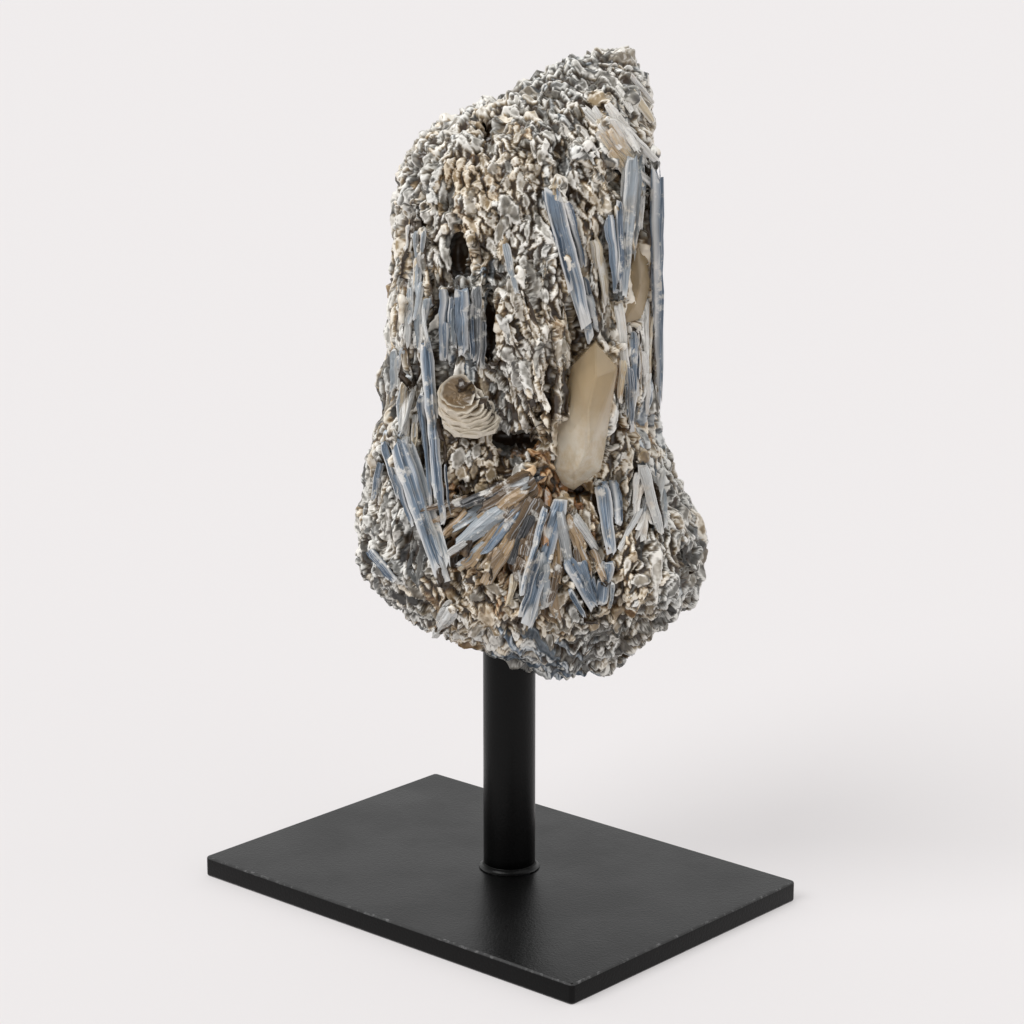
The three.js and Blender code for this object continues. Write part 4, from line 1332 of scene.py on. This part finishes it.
def buildPlate():
    size = plateHigh - plateLow
    centre = (plateHigh + plateLow) / 2
    body = bmesh.new()
    bmesh.ops.create_cube(body, size=1.0, matrix=Matrix.Translation(centre) @ Matrix.Diagonal((*size, 1)))
    upright = [e for e in body.edges if abs(e.verts[0].co.z - e.verts[1].co.z) > size.z / 2]
    bmesh.ops.bevel(body, geom=upright, offset=plateForm["corner"], segments=plateForm["cornerSteps"],
                    profile=0.5, affect="EDGES")
    rims = [e for e in body.edges if abs(e.verts[0].co.z - e.verts[1].co.z) < 1e-7
            and len(e.link_faces) == 2 and abs(e.link_faces[0].normal.z - e.link_faces[1].normal.z) > 0.5]
    bmesh.ops.bevel(body, geom=rims, offset=plateForm["edge"], segments=plateForm["edgeSteps"],
                    profile=0.5, affect="EDGES")
    for face in body.faces:
        face.smooth = abs(face.normal.z) < 0.999
    mesh = meshFrom("stand_plate", body)
    edge = plateForm["edge"]
    worn = []
    for vertex in mesh.vertices:
        low, high = vertex.co - plateLow, plateHigh - vertex.co
        side = min(low.x, low.y, high.x, high.y)
        worn.append(1.0 if side < edge * 0.8 and min(low.z, high.z) < edge * 0.8 else 0.0)
    addValues(mesh, "edge", "FLOAT", worn)
    addPiece("stand_plate", mesh, coatMaterial, "base_plate")


buildRod()
buildWeld()
buildPlate()
print("stand built")


# floor, light and camera

studio = dict(floor=srgb(172, 170, 170), glow=srgb(168, 165, 165), floorSize=40.0)
backdrop = dict(towards=(-0.664, 0.748, 0.0), bright=1.05, dim=0.34)  # the studio is bright behind the stone
lamps = [
    dict(name="key", heading=-15, height=48, strength=2.1, spread=40),
    dict(name="fill", heading=100, height=38, strength=0.6, spread=60),
]
lens = dict(place=(0.54896, -0.61225, 0.32351), heading=41.56, tilt=13.95, focal=99.97, sensor=36.0)


def buildFloor():
    half = studio["floorSize"] / 2
    corners = [(-half, -half, 0), (half, -half, 0), (half, half, 0), (-half, half, 0)]
    floorMesh = meshOf("floor", corners, [(0, 1, 2, 3)])
    material, _, _, shader = newMaterial("floor")
    setSockets(shader, {"Base Color": studio["floor"], "Roughness": 0.9, "Specular IOR Level": 0.0,
                        "Emission Color": studio["glow"], "Emission Strength": 1.0})
    floorMesh.materials.append(material)
    floor = bpy.data.objects.new("floor", floorMesh)
    bpy.context.scene.collection.objects.link(floor)


def buildWorld():
    world = bpy.data.worlds.new("studio")
    world.use_nodes = True
    nodes, links = world.node_tree.nodes, world.node_tree.links
    behind = addNode(nodes, "ShaderNodeVectorMath", operation="DOT_PRODUCT")
    behind.inputs[1].default_value = backdrop["towards"]
    links.new(addNode(nodes, "ShaderNodeTexCoord").outputs["Generated"], behind.inputs[0])
    sky = mapRange(nodes, links, behind.outputs["Value"], -0.2, 0.9, backdrop["dim"], backdrop["bright"])
    links.new(sky, nodes["Background"].inputs[1])
    nodes["Background"].inputs[0].default_value = (1, 1, 1, 1)
    bpy.context.scene.world = world


def buildLamps():
    for lamp in lamps:
        light = bpy.data.lights.new(lamp["name"], "SUN")
        light.energy = lamp["strength"]
        light.angle = math.radians(lamp["spread"])
        holder = bpy.data.objects.new(lamp["name"], light)
        bpy.context.scene.collection.objects.link(holder)
        holder.rotation_euler = (math.radians(90 - lamp["height"]), 0, math.radians(lamp["heading"]))


def buildCamera():
    view = bpy.data.cameras.new("camera")
    view.lens = lens["focal"]
    view.sensor_width = lens["sensor"]
    holder = bpy.data.objects.new("camera", view)
    bpy.context.scene.collection.objects.link(holder)
    holder.location = lens["place"]
    holder.rotation_euler = (math.radians(90 - lens["tilt"]), 0, math.radians(lens["heading"]))
    bpy.context.scene.camera = holder


buildFloor()
buildWorld()
buildLamps()
buildCamera()
bpy.context.scene.view_settings.view_transform = "Standard"
print("studio built")

print("done")
